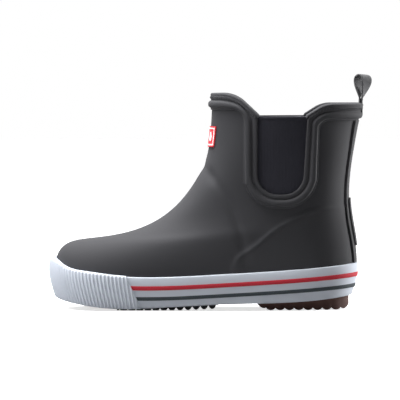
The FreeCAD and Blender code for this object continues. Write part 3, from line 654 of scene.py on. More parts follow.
def dressed(piece: bpy.types.Object, finish: Rubber | Cloth, slot: str, *nodes: str, body: str = "boot"
            ) -> bpy.types.Object:
    """Finish a piece: its material, the body that it rides on, and the nodes that it stands for.

    Args:
        piece: the piece.
        finish: what it is made of.
        slot: the record's material slot; not used.
        nodes: the nodes that it replaces.
        body: the body that it rides on, or an empty name for none.

    Returns:
        The piece.
    """
    piece.data.materials.clear()
    piece.data.materials.append(finish.made())
    if nodes:
        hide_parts(*nodes)
    if body:
        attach(piece, body)
    LOG.info("%s: %d faces", piece.name, len(piece.data.polygons))
    return piece


def across_bands(first: Grid, last: Grid, profile: Sequence[tuple[float, float]], base: float = 0.0) -> Grid:
    """A moulding between two lines on the form.

    Args:
        first: (turn, height) rows of the line where the profile starts.
        last: the same number of rows, of the line where it ends.
        profile: (share of the way, how far off the form) pairs.
        base: added to how far off the form.

    Returns:
        (profile, line, xyz) points.
    """
    rows = []
    for share, lift in profile:
        line = first + (last - first) * share
        rows.append(FORM.points(FORM.levels(line[:, 0], line[:, 1]), line[:, 0], lift + base))
    return np.array(rows)


def both_sides(lateral: Grid) -> Grid:
    """A (turn, height) line that starts at the front, carried on to its mirror image on the other side."""
    medial = lateral[:0:-1].copy()
    medial[:, 0] *= -1
    return np.concatenate([medial, lateral])


def on_form(side: Grid, ahead: bool = True) -> Grid:
    """A side-view line as (turn, height) rows, led on level to the boot's middle in front or behind.

    Args:
        side: (x, z) rows, from the end that is led on.
        ahead: whether that end is the front one.

    Returns:
        The rows.
    """
    line = np.stack([FORM.turns(side), side[:, 1]], axis=1)
    centre = 0.0 if ahead else math.pi
    lead = FORM.girth(np.array([line[0, 1]] * 1500), centre, line[0, 0], 1.0)[:-1]
    return np.concatenate([np.stack([lead, np.full(len(lead), line[0, 1])], axis=1), line])


def resampled(line: Grid, count: int) -> Grid:
    """A (turn, height) line with a number of points evenly along the form.

    Args:
        line: the line.
        count: how many points.

    Returns:
        The new line.
    """
    place = FORM.bare(FORM.levels(line[:, 0], line[:, 1]), line[:, 0])
    run = np.concatenate([[0], np.cumsum(np.linalg.norm(np.diff(place, axis=0), axis=1))])
    at = np.linspace(0, run[-1], count)
    return np.stack([np.interp(at, run, line[:, k]) for k in (0, 1)], axis=1)


def paired(first: Sequence[Grid], second: Sequence[Grid], step: float) -> tuple[Grid, Grid]:
    """Two (turn, height) lines in the same number of stretches, with as many points on each stretch.

    Args:
        first: stretches of one line.
        second: stretches of the other.
        step: about how far apart the points are.

    Returns:
        The two lines.
    """
    out: tuple[list[Grid], list[Grid]] = ([], [])
    for a, b in zip(first, second):
        place = FORM.bare(FORM.levels(a[:, 0], a[:, 1]), a[:, 0])
        count = max(3, int(np.linalg.norm(np.diff(place, axis=0), axis=1).sum() / step) + 1)
        for line, kept in ((a, out[0]), (b, out[1])):
            kept.append(resampled(line, count)[(1 if kept else 0):])
    return np.concatenate(out[0]), np.concatenate(out[1])


@dataclass
class Collar:
    """The collar's lines in side view: its edge, and the window that the elastic fills."""

    top: float = 158.0
    rear_top: float = 150.3
    web_top: float = 142.3
    front: float = 35.0
    rear: float = 69.8
    foot: float = 85.3
    corner: float = 14.5
    flare: float = 1.6
    width: float = 10.5
    band: float = 11.0

    def front_slope(self) -> Grid:
        """The collar's edge from the front down to the elastic."""
        return rounded([(6.0, self.top, 0), (self.front - 17.0, self.top, 24.0),
                        (self.front + 0.5, self.web_top, 0)])

    def rear_slope(self) -> Grid:
        """The collar's edge from the back down to the elastic."""
        return rounded([(109.0, self.rear_top, 0), (self.rear + self.flare + 12.5, self.rear_top, 22.0),
                        (self.rear + self.flare - 0.5, self.web_top, 0)])

    def edge_height(self, x: Grid) -> Grid:
        """Height of the collar's edge at each place along the boot."""
        front, rear = self.front_slope(), self.rear_slope()[::-1]
        line = np.concatenate([front, rear])
        return np.interp(x, line[:, 0], line[:, 1])

    def in_window(self, x: Grid, z: Grid, grow: float) -> Grid:
        """Whether side-view points lie within the window, grown all round.

        Args:
            x: their places along the boot.
            z: their heights.
            grow: how far the window is grown.

        Returns:
            True for each point within.
        """
        lean = self.flare * (z - self.foot) / (self.web_top - self.foot)
        left, right = self.front - grow, self.rear - self.flare + grow + lean
        inside = (x > left) & (x < right) & (z > self.foot - grow)
        radius = self.corner + grow
        for centre, way in ((left + radius, -1), (self.rear - self.flare + grow - radius, 1)):
            low = self.foot - grow + radius
            in_corner = ((x - centre) * way > 0) & (z < low)
            inside &= ~(in_corner & ((x - centre) ** 2 + (z - low) ** 2 > radius ** 2))
        return inside


COLLAR = Collar()


# ----------------------------------------------------------------------------------------- the upper
@dataclass
class Upper:
    """The dipped rubber skin, its lining, and the overlays that show through it."""

    columns: int = 300
    rows: int = 118
    wall: float = 1.6
    seam_lift: float = 0.55
    counter_lift: float = 0.8

    def build(self) -> None:
        """Make the skin and the lining."""
        self.skin()
        self.lining()

    def relief(self, x: Grid, z: Grid) -> Grid:
        """How far the skin stands off the form because of what lies under it.

        Args:
            x: places along the boot.
            z: heights.

        Returns:
            The lift at each.
        """
        seam = SmoothLine([-p[1] * HEIGHT for p in VAMP_LINE])
        along = seam.weights(-np.ravel(z)) @ np.array([p[0] * LENGTH for p in VAMP_LINE])
        ahead = along.reshape(x.shape) - x
        fade = np.clip((112 - z) / 14, 0, 1) * np.clip((z - 30) / 22, 0.25, 1)
        valley = -0.95 * np.exp(-((ahead + 1.5) / 3.6) ** 2) * fade
        step = self.seam_lift * fade / (1 + np.exp(-(ahead - 1.0) / 1.4))
        dimple = -1.1 * np.exp(-((x + 0.5) / 5.0) ** 2 - ((z - 98.5) / 6.5) ** 2)
        arch = COUNTER(x) - z
        rounding = 1 / (1 + np.exp(-np.clip(arch / 0.9, -30, 30)))
        ridge = 0.45 * np.exp(-((arch - 1.4) / 1.6) ** 2)
        behind = np.clip((x - 14) / 6, 0, 1)
        fading = 1 - 0.75 * np.clip((x - 74) / 20, 0, 1)
        return valley + step + dimple + (self.counter_lift * rounding + ridge) * behind * fading

    def skin(self) -> None:
        """The rubber skin in one, for its seam is buried under the dip."""
        turns = FORM.girth(lambda x: EDGE(x) + 6, 0, 2 * math.pi, 540.0 / self.columns)
        low = FORM.levels(turns, lambda x: EDGE(x) - 3)
        high = FORM.levels(turns, COLLAR.edge_height)
        share = np.linspace(0, 1, self.rows)[:, None]
        levels = low + (high - low) * share
        grid = np.broadcast_to(turns, levels.shape)
        bare = FORM.points(levels, grid)
        where = FORM.points(levels, grid, self.relief(bare[..., 0], bare[..., 2]))
        piece = modelled("upper_skin", where, closed=True)
        self.cut_window(piece, 4.2)
        thick(piece, self.wall)
        smooth(piece)
        dressed(piece, UPPER_RUBBER, "upper_rubber", "vamp", "shaft", "heel_counter")

    def cut_window(self, piece: bpy.types.Object, grow: float) -> None:
        """Take out the faces behind the elastic's window.

        Args:
            piece: the skin or the lining.
            grow: how far past the window they go, under the trim.
        """
        bpy.ops.object.select_all(action="DESELECT")
        centres = np.zeros(len(piece.data.polygons) * 3)
        piece.data.polygons.foreach_get("center", centres)
        centres = centres.reshape(-1, 3) / MM
        gone = COLLAR.in_window(centres[:, 0], centres[:, 2], grow)
        piece.data.vertices.foreach_set("select", np.zeros(len(piece.data.vertices), bool))
        piece.data.edges.foreach_set("select", np.zeros(len(piece.data.edges), bool))
        piece.data.polygons.foreach_set("select", gone)
        piece.select_set(True)
        bpy.context.view_layer.objects.active = piece
        bpy.ops.object.mode_set(mode="EDIT")
        bpy.ops.mesh.select_mode(type="FACE")
        bpy.ops.mesh.delete(type="FACE")
        bpy.ops.mesh.select_mode(type="VERT")
        bpy.ops.object.mode_set(mode="OBJECT")

    def lining(self) -> None:
        """The knit lining, from under the footbed to the collar's edge."""
        turns = FORM.girth(lambda x: EDGE(x) + 6, 0, 2 * math.pi, 3.0)
        low = FORM.levels(turns, lambda x: SOLE(x) + 9)
        high = FORM.levels(turns, COLLAR.edge_height)
        share = np.linspace(0, 1, 60)[:, None]
        levels = low + (high - low) * share
        grid = np.broadcast_to(turns, levels.shape)
        bare = FORM.points(levels, grid)
        dent = np.minimum(0, self.relief(bare[..., 0], bare[..., 2]))
        where = FORM.points(levels, grid, dent - self.wall - 0.1)
        piece = modelled("knit_lining", where, closed=True)
        thick(piece, 1.2)
        smooth(piece)
        dressed(piece, LINING, "lining_knit", "lining")


@dataclass
class CollarWork:
    """What is sewn and moulded round the collar: elastic, trim, edge tape and stitches."""

    trim_profile: tuple[tuple[float, float], ...] = (
        (0.0, -0.3), (0.0, 0.6), (0.015, 0.88), (0.04, 0.95), (0.10, 0.95), (0.13, 1.05), (0.155, 1.5),
        (0.19, 2.2),
        (0.24, 2.65), (0.30, 2.85), (0.38, 2.92), (0.46, 2.85), (0.52, 2.6), (0.57, 2.1), (0.60, 1.5),
        (0.63, 1.05),
        (0.66, 0.95), (0.70, 0.95), (0.73, 1.3), (0.78, 1.5), (0.92, 1.45), (0.975, 1.2), (1.0, 0.7),
        (1.0, -1.5))
    rim_profile: tuple[tuple[float, float], ...] = (
        (0.0, 0.2), (0.0, 1.0), (0.12, 1.28), (0.5, 1.35), (0.85, 1.15), (1.0, 0.5), (1.04, -0.8),
        (1.04, -2.0),
        (0.95, -3.0), (0.7, -3.4), (0.1, -3.5), (-0.1, -3.3))
    rib_pitch: float = 1.1
    rib_depth: float = 0.10

    def build(self) -> None:
        """Make every piece of the collar."""
        for side, way in (("lateral", 1), ("medial", -1)):
            self.elastic(side, way)
        self.trim()
        self.rims()

    def elastic(self, side: str, way: int) -> None:
        """One elastic gusset, its ribs standing up and down, with a turned hem on top.

        Args:
            side: which side of the boot.
            way: 1 for the lateral side, -1 for the medial.
        """
        ribs = np.arange(COLLAR.front - 4, COLLAR.rear + 5, self.rib_pitch / 5)
        heights = np.concatenate([np.linspace(COLLAR.foot - 4, COLLAR.web_top - 2.2, 44),
                                  COLLAR.web_top + np.array([-1.9, -1.6, -1.0, -0.4, -0.1])])
        x, z = np.meshgrid(ribs, heights)
        flat = np.stack([x.ravel(), z.ravel()], axis=1)
        turn = FORM.turns(flat)
        lift = -0.9 + self.rib_depth * np.cos(2 * math.pi * flat[:, 0] / self.rib_pitch)
        hem = flat[:, 1] > COLLAR.web_top - 2.0
        bulge = np.sin(np.clip((flat[:, 1] - COLLAR.web_top + 2.0) / 2.0, 0, 1) * math.pi)
        lift = np.where(hem, -0.75 + 0.35 * bulge, lift)
        where = FORM.points(FORM.levels(turn, flat[:, 1]), way * turn, lift).reshape(*x.shape, 3)
        if way < 0:
            where = where[:, ::-1]
        piece = modelled(f"{side}_elastic", where)
        thick(piece, 1.0, even=False)
        smooth(piece, 60)
        dressed(piece, ELASTIC, "elastic_web", f"{side}_gusset")

    def lines(self) -> tuple[list[Grid], list[Grid]]:
        """The trim's outer and inner lines on the lateral side, in stretches that match.

        Returns:
            The outer stretches and the inner ones.
        """
        c = COLLAR
        out_x, back_x = c.front - c.width, c.rear + c.width
        out_low = c.foot - c.width
        top, rear = c.top - c.band, c.rear_top - c.band
        big = c.corner + c.width
        lean = c.flare
        front = rounded([(6.0, top, 0), (out_x, top, 7.0), (out_x, c.foot + 8, 0)], 0.5)
        middle = rounded([(out_x, c.foot + 8, 0), (out_x, out_low, big), (back_x - lean, out_low, big),
                          (back_x - lean * 0.75, c.foot + 10, 0)], 0.5)
        back = rounded([(back_x - lean * 0.75, c.foot + 10, 0), (back_x, rear, 7.0), (109.0, rear, 0)], 0.5)
        in_front = np.concatenate([c.front_slope()[:-2], [(c.front, c.web_top - 1.5), (c.front, c.foot + 8)]])
        in_middle = rounded([(c.front, c.foot + 8, 0), (c.front, c.foot, c.corner - 0.01),
                             (c.rear - lean, c.foot, c.corner - 0.01),
                             (c.rear - lean * 0.75, c.foot + 10, 0)], 0.5)
        in_back = np.concatenate([[(c.rear - lean * 0.75, c.foot + 10), (c.rear + lean, c.web_top - 1.5)],
                                  c.rear_slope()[::-1][2:]])
        outer = [on_form(front), self.flat(middle), on_form(back[::-1], ahead=False)[::-1]]
        inner = [on_form(evenly(in_front, 0.5)), self.flat(in_middle),
                 on_form(evenly(in_back, 0.5)[::-1], ahead=False)[::-1]]
        return outer, inner

    @staticmethod
    def flat(side: Grid) -> Grid:
        """A side-view line as (turn, height) rows."""
        return np.stack([FORM.turns(side), side[:, 1]], axis=1)

    def trim(self) -> None:
        """The moulded trim in its two lengths, spliced on the rear legs."""
        outer, inner = paired(*self.lines(), 1.0)
        splice = int(np.argmax((outer[:, 0] > 1.5) & (outer[:, 1] > 110)))
        front = across_bands(both_sides(outer[:splice + 1]), both_sides(inner[:splice + 1]),
                             self.trim_profile)
        piece = modelled("front_collar_trim", front, hollow=False)
        smooth(piece, 50)
        dressed(piece, TRIM_RUBBER, "trim_rubber", "front_trim")
        far_outer, far_inner = outer[splice:], inner[splice:]
        back = [np.concatenate([line, np.stack([2 * math.pi - line[-2::-1, 0], line[-2::-1, 1]], axis=1)])
                for line in (far_outer, far_inner)]
        piece = modelled("rear_collar_trim", across_bands(back[0], back[1], self.trim_profile, 0.04),
                         hollow=False)
        smooth(piece, 50)
        dressed(piece, TRIM_RUBBER, "trim_rubber", "rear_trim")

    def rims(self) -> None:
        """The tape over the collar's edge, in front and behind, and the stitches that hold it."""
        front = on_form(COLLAR.front_slope())
        rear = on_form(COLLAR.rear_slope(), ahead=False)
        back = np.stack([2 * math.pi - rear[:0:-1, 0], rear[:0:-1, 1]], axis=1)[::-1]
        for name, line in (("front_rim", both_sides(front)),
                           ("rear_rim", np.concatenate([rear[::-1], back]))):
            low, high = line.copy(), line.copy()
            low[:, 1] -= 0.9
            high[:, 1] += 1.4
            piece = modelled(name + "_binding", across_bands(low, high, self.rim_profile), hollow=False)
            smooth(piece, 60)
            dressed(piece, TRIM_RUBBER, "trim_rubber", name + "_tape")
            self.stitches(name, line)

    def stitches(self, name: str, line: Grid) -> None:
        """A row of stitches on the trim's flat edge, under the tape.

        Args:
            name: which tape they hold.
            line: the collar's edge as (turn, height) rows.
        """
        count = int(np.linalg.norm(np.diff(FORM.bare(FORM.levels(line[:, 0], line[:, 1]), line[:, 0]),
                                           axis=0),
                                   axis=1).sum() / 2.3)
        row = resampled(line, count)
        at = FORM.points(FORM.levels(row[:, 0], row[:, 1] - 2.5), row[:, 0], 1.55)
        above = FORM.points(FORM.levels(row[:, 0], row[:, 1] - 1.3), row[:, 0], 1.55)
        bpy.ops.object.select_all(action="DESELECT")
        made = []
        for low, high, before, after in zip(at[1:-1], above[1:-1], at[:-2], at[2:]):
            lean = (after - before) / np.linalg.norm(after - before) * 0.25
            middle, reach = (low + high) / 2, (high - low) / 2 + lean
            bpy.ops.mesh.primitive_uv_sphere_add(segments=6, ring_count=4, radius=0.28 * MM)
            stitch = bpy.context.object
            points = np.array([v.co for v in stitch.data.vertices])
            tall = points[:, 2:] / (0.28 * MM)
            placed = points * [1, 1, 0] + (tall * reach + middle) * MM
            stitch.data.vertices.foreach_set("co", placed.ravel())
            made.append(stitch)
        for stitch in made:
            stitch.select_set(True)
        bpy.ops.object.join()
        piece = bpy.context.object
        piece.name = piece.data.name = name + "_stitches"
        smooth(piece, 80)
        dressed(piece, THREAD, "trim_rubber")


# ------------------------------------------------------------------------------------- the sole unit
@dataclass
class SoleUnit:
    """The rubber band round the foot, with its stripes and the ribbed toe bumper."""

    wall: float = 2.4
    stripe: float = 0.45
    bumper_wall: float = 4.0
    rib_pitch: float = 2.75
    rib_height: float = 0.9

    def build(self) -> None:
        """Make the band, the stripes and the bumper."""
        self.band()
        self.stripe_round("red_line", 6.4, 3.0, RED_RUBBER, "stripe_red", "red_stripe")
        self.stripe_round("dark_line", 14.2, 2.6, DARK_RUBBER, "stripe_dark", "dark_stripe")
        self.bumper()
        self.tread("forefoot_tread", (-69.0, 6.0), 5.9, 0.4, TREAD_RUBBER, "outsole_rubber", "outsole")
        self.tread("heel_tread", (31.0, 103.4), 6.9, 0.0, HEEL_RUBBER, "heel_rubber", "heel_lift")

    def tread(self, name: str, ends: tuple[float, float], pitch: float, least: float, finish: Rubber,
              slot: str,
              node: str) -> None:
        """A part of the sole with rounded bars across it, which show as waves along its foot.

        Args:
            name: the piece's name.
            ends: where it starts and ends along the boot.
            pitch: from bar to bar.
            least: how thin it is where there are no bars.
            finish: its rubber.
            slot: its material slot.
            node: the node that it replaces.
        """
        heel = name.startswith("heel")
        stations = np.arange(ends[0] if heel else -112.0, ends[1] if heel else 100.0, pitch / 10)
        share = np.linspace(-1, 1, 25)
        x = np.broadcast_to(stations[:, None], (len(stations), len(share)))
        at = np.stack([stations, SOLE(stations) + 3.0], axis=1)
        turn = FORM.turns(at)
        inset = 2.4 if heel else 1.0
        left = FORM.points(FORM.levels(turn, at[:, 1]), turn, -inset)[:, 1]
        right = FORM.points(FORM.levels(turn, at[:, 1]), 2 * math.pi - turn, -inset)[:, 1]
        y = left[:, None] + (right - left)[:, None] * (share + 1) / 2
        roof = SOLE(x) + (1.2 if heel else 0.8)
        wave = np.abs(np.cos(math.pi * (x - ends[0]) / pitch)) ** 0.7
        if heel:
            floor = np.clip((ends[0] + 11.0 - x) / 11.0, 0, 1) * 5.5 + np.clip((x - 96) / 7, 0, 1) ** 2 * 3.0
            foot = floor + 1.7 * (1 - wave)
        else:
            inside = np.clip((x - ends[0]) / 2, 0, 1) * np.clip((ends[1] - x) / 2, 0, 1)
            foot = SOLE(x) - least - 3.0 * wave * inside
            foot = np.maximum(foot, 0.3)
        rim = np.clip((1 - np.abs(share)) / 0.09, 0, 1) ** 0.5
        foot = roof - (roof - foot) * (0.35 + 0.65 * rim)
        under = np.stack([x, y, np.minimum(foot, roof - 0.2)], axis=2)
        over = np.stack([x, y, roof], axis=2)
        ring = np.concatenate([over, under[:, ::-1]], axis=1)
        piece = modelled(name, np.concatenate([ring, ring[:, :1]], axis=1), closed=True)
        in_edit(piece, lambda: bpy.ops.mesh.fill_holes(sides=0))
        in_edit(piece, lambda: bpy.ops.mesh.normals_make_consistent(inside=False))
        smooth(piece, 50)
        dressed(piece, finish, slot, node)

    def rows(self, turns: Grid, levels: Sequence[tuple[str, float, float]],
             limit: Callable[[Grid], Grid]) -> Grid:
        """Lines round the sole, each a distance from its top or its foot.

        Args:
            turns: the turns.
            levels: ("top" or "foot", distance into the band, lift) of each line.
            limit: the highest that the band reaches at each place along the boot.

        Returns:
            (line, turn, xyz) points.
        """
        out = []
        for end, inside, lift in levels:
            line = (lambda x, i=inside: limit(x) - i) if end == "top" else (lambda x, i=inside: SOLE(x) + i)
            out.append(FORM.points(FORM.levels(turns, line), turns, lift))
        return np.array(out)

    def band(self) -> None:
        """The pale band, rounded along its top and its foot."""
        w = self.wall
        turns = FORM.girth(lambda x: EDGE(x) - 8, 0, 2 * math.pi, 1.4)
        levels = [("foot", 0.0, -0.4), ("foot", 0.0, w - 0.8), ("foot", 0.25, w - 0.25), ("foot", 0.8, w)]
        levels += [("foot", 2.0, w), ("top", 12.0, w), ("top", 5.0, w), ("top", 0.9, w),
                   ("top", 0.3, w - 0.2),
                   ("top", 0.05, w - 0.6), ("top", 0.0, w - 1.0), ("top", 0.0, -0.3)]
        piece = modelled("sidewall_band", self.rows(turns, levels, EDGE), closed=True, hollow=False)
        smooth(piece, 50)
        dressed(piece, SIDEWALL_RUBBER, "foxing_rubber", "foxing")

    def stripe_round(self, name: str, below: float, tall: float, finish: Rubber, slot: str,
                     node: str) -> None:
        """One stripe round the band.

        Args:
            name: the piece's name.
            below: from the band's top down to the stripe.
            tall: its height.
            finish: its rubber.
            slot: its material slot.
            node: the node that it replaces.
        """
        out, w = self.stripe, self.wall
        turns = FORM.girth(lambda x: EDGE(x) - 8, 0.6, 2 * math.pi - 0.6, 1.4)
        levels = [("top", below + tall, w - 0.2), ("top", below + tall, w + out * 0.6),
                  ("top", below + tall - 0.25, w + out), ("top", below + 0.25, w + out),
                  ("top", below, w + out * 0.6), ("top", below, w - 0.2)]
        piece = modelled(name, self.rows(turns, levels, EDGE), hollow=False)
        smooth(piece, 40)
        dressed(piece, finish, slot, node)

    def bumper(self) -> None:
        """The ribbed bumper round the toe, its ends cut on a slant."""
        def limit(x: Grid) -> Grid:
            """The bumper's top: the sidewall's edge, or the slant at its ends."""
            slant = (-50.0 - x) / 11.0 * 23.0 + 2.2
            return np.minimum(EDGE(x) + 0.6, np.maximum(slant, SOLE(x) + 0.02))
        per_rib = 10
        half = FORM.girth(20.0, 0, 1.35, self.rib_pitch / per_rib, self.bumper_wall)
        ends = FORM.points(FORM.levels(half, SOLE), half)[:, 0]
        half = half[: int(np.argmax(ends > -50.4))]
        turns = np.concatenate([-half[:0:-1], half])
        step = np.abs(np.arange(len(turns)) - (len(half) - 1)) / per_rib * 2 * math.pi
        wave = np.clip(0.5 + 0.75 * np.cos(step), 0, 1)
        edge_x = FORM.points(FORM.levels(turns, limit), turns)[:, 0]
        fade = np.clip((-52.0 - edge_x) / 4.0, 0, 1)
        w = self.bumper_wall
        shape = [("foot", 0.0, 1.6, 0), ("foot", 0.0, w - 0.9, 0), ("foot", 0.3, w - 0.25, 0.1),
                 ("foot", 0.9, w, 0.6),
                 ("foot", 1.8, w, 1.0)]
        shape += [("mid", share, w, 1.0) for share in (0.2, 0.35, 0.5, 0.65, 0.8)]
        shape += [("top", 2.0, w, 1.0), ("top", 1.2, w, 0.75), ("top", 0.7, w - 0.1, 0.25),
                  ("top", 0.25, w - 0.4, 0),
                  ("top", 0.0, w - 0.9, 0), ("top", 0.0, 1.6, 0)]
        rows = []
        for end, inside, lift, ribbed in shape:
            def line(x: Grid, end: str = end, inside: float = inside) -> Grid:
                """The heights of one row round the bumper.

                Args:
                    x: places along the boot.
                    end: which end of the band the row is measured from.
                    inside: how far within that end, or the share of the height.

                Returns:
                    The heights.
                """
                low, high = SOLE(x), limit(x)
                room = high - low
                if end == "mid":
                    return low + room * inside
                near = np.minimum(inside, room * 0.45)
                return low + near if end == "foot" else high - near
            rows.append(FORM.points(FORM.levels(turns, line), turns,
                                    lift + self.rib_height * wave * ribbed * fade))
        piece = modelled("ribbed_bumper", np.array(rows), hollow=False)
        smooth(piece, 70)
        dressed(piece, SIDEWALL_RUBBER, "foxing_rubber", "toe_bumper")


# ------------------------------------------------------------------------------------ small pieces
@dataclass
class FrontLabel:
    """The badge on the front of the shaft: red, with a white frame and a raindrop."""

    middle: float = 127.2
    half_height: float = 7.6
    half_width: float = 15.0

    def build(self) -> None:
        """Make the plate, its frame and its drop."""
        self.plate("label_plate", [(-1, -1), (1, 1)], 0.0, 0.95, LABEL_RED, "front_label")
        for i, (low, high) in enumerate((((-0.93, -0.86), (0.93, -0.72)), ((-0.93, 0.72), (0.93, 0.86)),
                                         ((-0.93, -0.72), (-0.86, 0.72)), ((0.86, -0.72), (0.93, 0.72)))):
            self.plate(f"label_frame_{i}", [low, high], 0.5, 1.15, LABEL_WHITE)
        self.drop()

    def put(self, across: Grid, up: Grid, lift: Grid | float) -> Grid:
        """Points of the badge on the form, from millimetres across and up.

        Args:
            across: places across the badge.
            up: places up it.
            lift: how far off the form.

        Returns:
            The points.
        """
        sample = np.linspace(-1.2, 1.2, 400)
        y = FORM.bare(FORM.levels(sample, np.full(400, self.middle)), sample)
        run = np.concatenate([[0], np.cumsum(np.linalg.norm(np.diff(y, axis=0), axis=1))])
        run -= np.interp(0.0, sample, run)
        turn = np.interp(np.ravel(across), run, sample)
        level = FORM.levels(turn, self.middle + np.ravel(up))
        lifted = np.ravel(np.broadcast_to(lift, np.shape(across)))
        return FORM.points(level, turn, lifted).reshape(*across.shape, 3)

    def plate(self, name: str, corners: Sequence[tuple[float, float]], foot: float, top: float,
              finish: Rubber, *nodes: str) -> None:
        """A rectangle of the badge with a rounded edge.

        Args:
            name: the piece's name.
            corners: its low and high corner, as shares of the badge.
            foot: how far its edge stands off the form.
            top: how far its face stands off the form.
            finish: its material.
            nodes: the nodes that it stands for.
        """
        (left, low), (right, high) = corners
        w, h = self.half_width, self.half_height
        inset = np.array([0, 0, 0.12, 0.3])
        lift = np.array([foot, top - 0.15, top - 0.04, top])
        x = np.concatenate([left * w + inset, np.linspace(left * w + 0.4, right * w - 0.4, 24),
                            right * w - inset[::-1]])
        z = np.concatenate([low * h + inset, np.linspace(low * h + 0.4, high * h - 0.4, 10),
                            high * h - inset[::-1]])
        edge_x = np.concatenate([lift, np.full(24, top), lift[::-1]])
        edge_z = np.concatenate([lift, np.full(10, top), lift[::-1]])
        gx, gz = np.meshgrid(x, z)
        piece = modelled(name, self.put(gx, gz, np.minimum(edge_x[None], edge_z[:, None])))
        thick(piece, 0.4, even=False)
        smooth(piece, 50)
        dressed(piece, finish, "label_red", *nodes)

    def drop(self) -> None:
        """The three raindrops across the badge."""
        around = np.linspace(0, 2 * math.pi, 49)
        radius = 3.0
        edge_x = radius * np.sin(around) * np.sin(around / 2) ** 1.2
        edge_z = radius * np.cos(around) * 1.25 + 0.4
        rings = np.array([1.0, 1.0, 0.9, 0.6, 0.3, 0.02])[:, None]
        lift = np.array([0.6, 1.05, 1.15, 1.2, 1.22, 1.22])[:, None]
        for name, shift in (("label_drop_middle", 0.0), ("label_drop_left", -8.0), ("label_drop_right", 8.0)):
            gx, gz = edge_x * rings + shift, edge_z * rings
            piece = modelled(name, self.put(gx[:, ::-1], gz[:, ::-1], np.broadcast_to(lift, gx.shape)),
                             closed=True)
            thick(piece, 0.3, even=False)
            smooth(piece, 50)
            dressed(piece, LABEL_WHITE, "label_red")


@dataclass
class PullLoop:
    """The webbing loop at the back of the collar, which turns on itself as it rises."""

    width: float = 11.0
    tape: float = 1.3
    rise: float = 19.05
    bulge: float = 3.75
    leg: float = 0.34
    turn: float = 41.0
    twist: float = 12.6
    lean: float = 6.0
    tail: float = 10.0

    def centre_line(self, along: float) -> tuple[float, float, float]:
        """A place on the loop and its angle there, from the front foot round to the rear one.

        Args:
            along: how far round the loop, from 0 to 1.

        Returns:
            The place across, the height and the angle.
        """
        centre, apart = self.rise - self.bulge, self.tape / 2 + 0.06
        if along < self.leg or along > 1 - self.leg:
            up = min(along, 1 - along) / self.leg
            spread = up * up * (3 - 2 * up)
            across = apart + (self.bulge - apart) * spread
            slope = math.atan2(centre, 6 * (self.bulge - apart) * up * (1 - up))
            if along < self.leg:
                return -across, centre * up, math.pi - slope
            return across, centre * up, slope - math.pi
        angle = math.pi * (along - self.leg) / (1 - 2 * self.leg)
        return -self.bulge * math.cos(angle), centre + self.bulge * math.sin(angle), math.pi / 2 - angle

    def build(self, hinge: tuple[float, float, float]) -> None:
        """Make the tape, with its two tails going down into the collar.

        Args:
            hinge: the joint's place, in metres.
        """
        stations = [(-self.tape / 2 - 0.06, -h, math.pi / 2) for h in np.linspace(self.tail, 0.6, 8)]
        stations += [self.centre_line(i / 90) for i in range(91)]
        stations += [(self.tape / 2 + 0.06, -h, -math.pi / 2) for h in np.linspace(0.6, self.tail, 8)]
        half, thin = self.width / 2, self.tape / 2
        section = [(-half, 0.3), (-half + 0.15, 0.8), (-half + 0.5, 1.0),
                   *((half * s, 1.0) for s in np.linspace(-0.85, 0.85, 9)),
                   (half - 0.5, 1.0), (half - 0.15, 0.8), (half, 0.3)]
        section = section + [(y, -t) for y, t in reversed(section)]
        section.append(section[0])
        rows = []
        for across, height, angle in stations:
            out = np.array([-math.sin(angle), 0, math.cos(angle)])
            turned = math.radians(-self.turn * max(0.0, min(1.0, (height - 1.4) / self.twist)))
            c, s = math.cos(turned), math.sin(turned)
            row = []
            for side, face in section:
                x, y, z = np.array([across, side, height]) + out * thin * face
                row.append((c * x - s * y, s * x + c * y, z))
            rows.append(row)
        where = np.array(rows)
        lean = math.radians(self.lean)
        x, z = where[..., 0].copy(), where[..., 2].copy()
        bent = np.clip(z, 0, None)
        where[..., 0] = x * math.cos(lean) + bent * math.sin(lean)
        where[..., 2] = np.where(z > 0, z * math.cos(lean), z) - np.where(z > 0, x, 0) * math.sin(lean)
        where += np.array(hinge) / MM
        run = np.concatenate([[0], np.cumsum(np.linalg.norm(np.diff(where[:, 0], axis=0), axis=1))])
        girth = np.array([p[0] for p in section])
        cloth = np.stack(np.broadcast_arrays(girth[None, :], run[:, None]), axis=2)
        piece = modelled("webbing_loop", where[:, ::-1], closed=True, stretch=cloth[:, ::-1])
        in_edit(piece, lambda: bpy.ops.mesh.fill_holes(sides=0))
        smooth(piece, 60)
        dressed(piece, WEBBING, "webbing", "pull_loop", "loop_tails", body="")
        x, y, z = hinge
        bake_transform(piece)


@dataclass
class Footbed:
    """The cloth-covered foam insert that lies inside the boot."""


    def build(self) -> None:
        """Make the insert with a domed top."""
        turns = FORM.girth(20.0, 0, 2 * math.pi, 4.0)
        rows = []
        for inset, over in ((4.1, 3.4), (3.5, 4.4), (3.5, 7.0), (3.8, 7.7), (5.0, 8.1), (9.0, 8.0),
                            (14.0, 7.7),
                            (20.0, 7.5), (26.0, 7.5)):
            line = FORM.points(FORM.levels(turns, lambda x: SOLE(x) + over + 3), turns, -min(inset, 14.0))
            if inset > 14:
                line[:, 1] *= (26.5 - inset) / 12.5
            line[:, 2] = SOLE(line[:, 0]) + over + 3
            rows.append(line)
        piece = modelled("footbed_insert", np.array(rows), closed=True)
        in_edit(piece, lambda: bpy.ops.mesh.fill_holes(sides=0))
        smooth(piece, 60)
        dressed(piece, FOOTBED_CLOTH, "footbed_foam", "footbed")


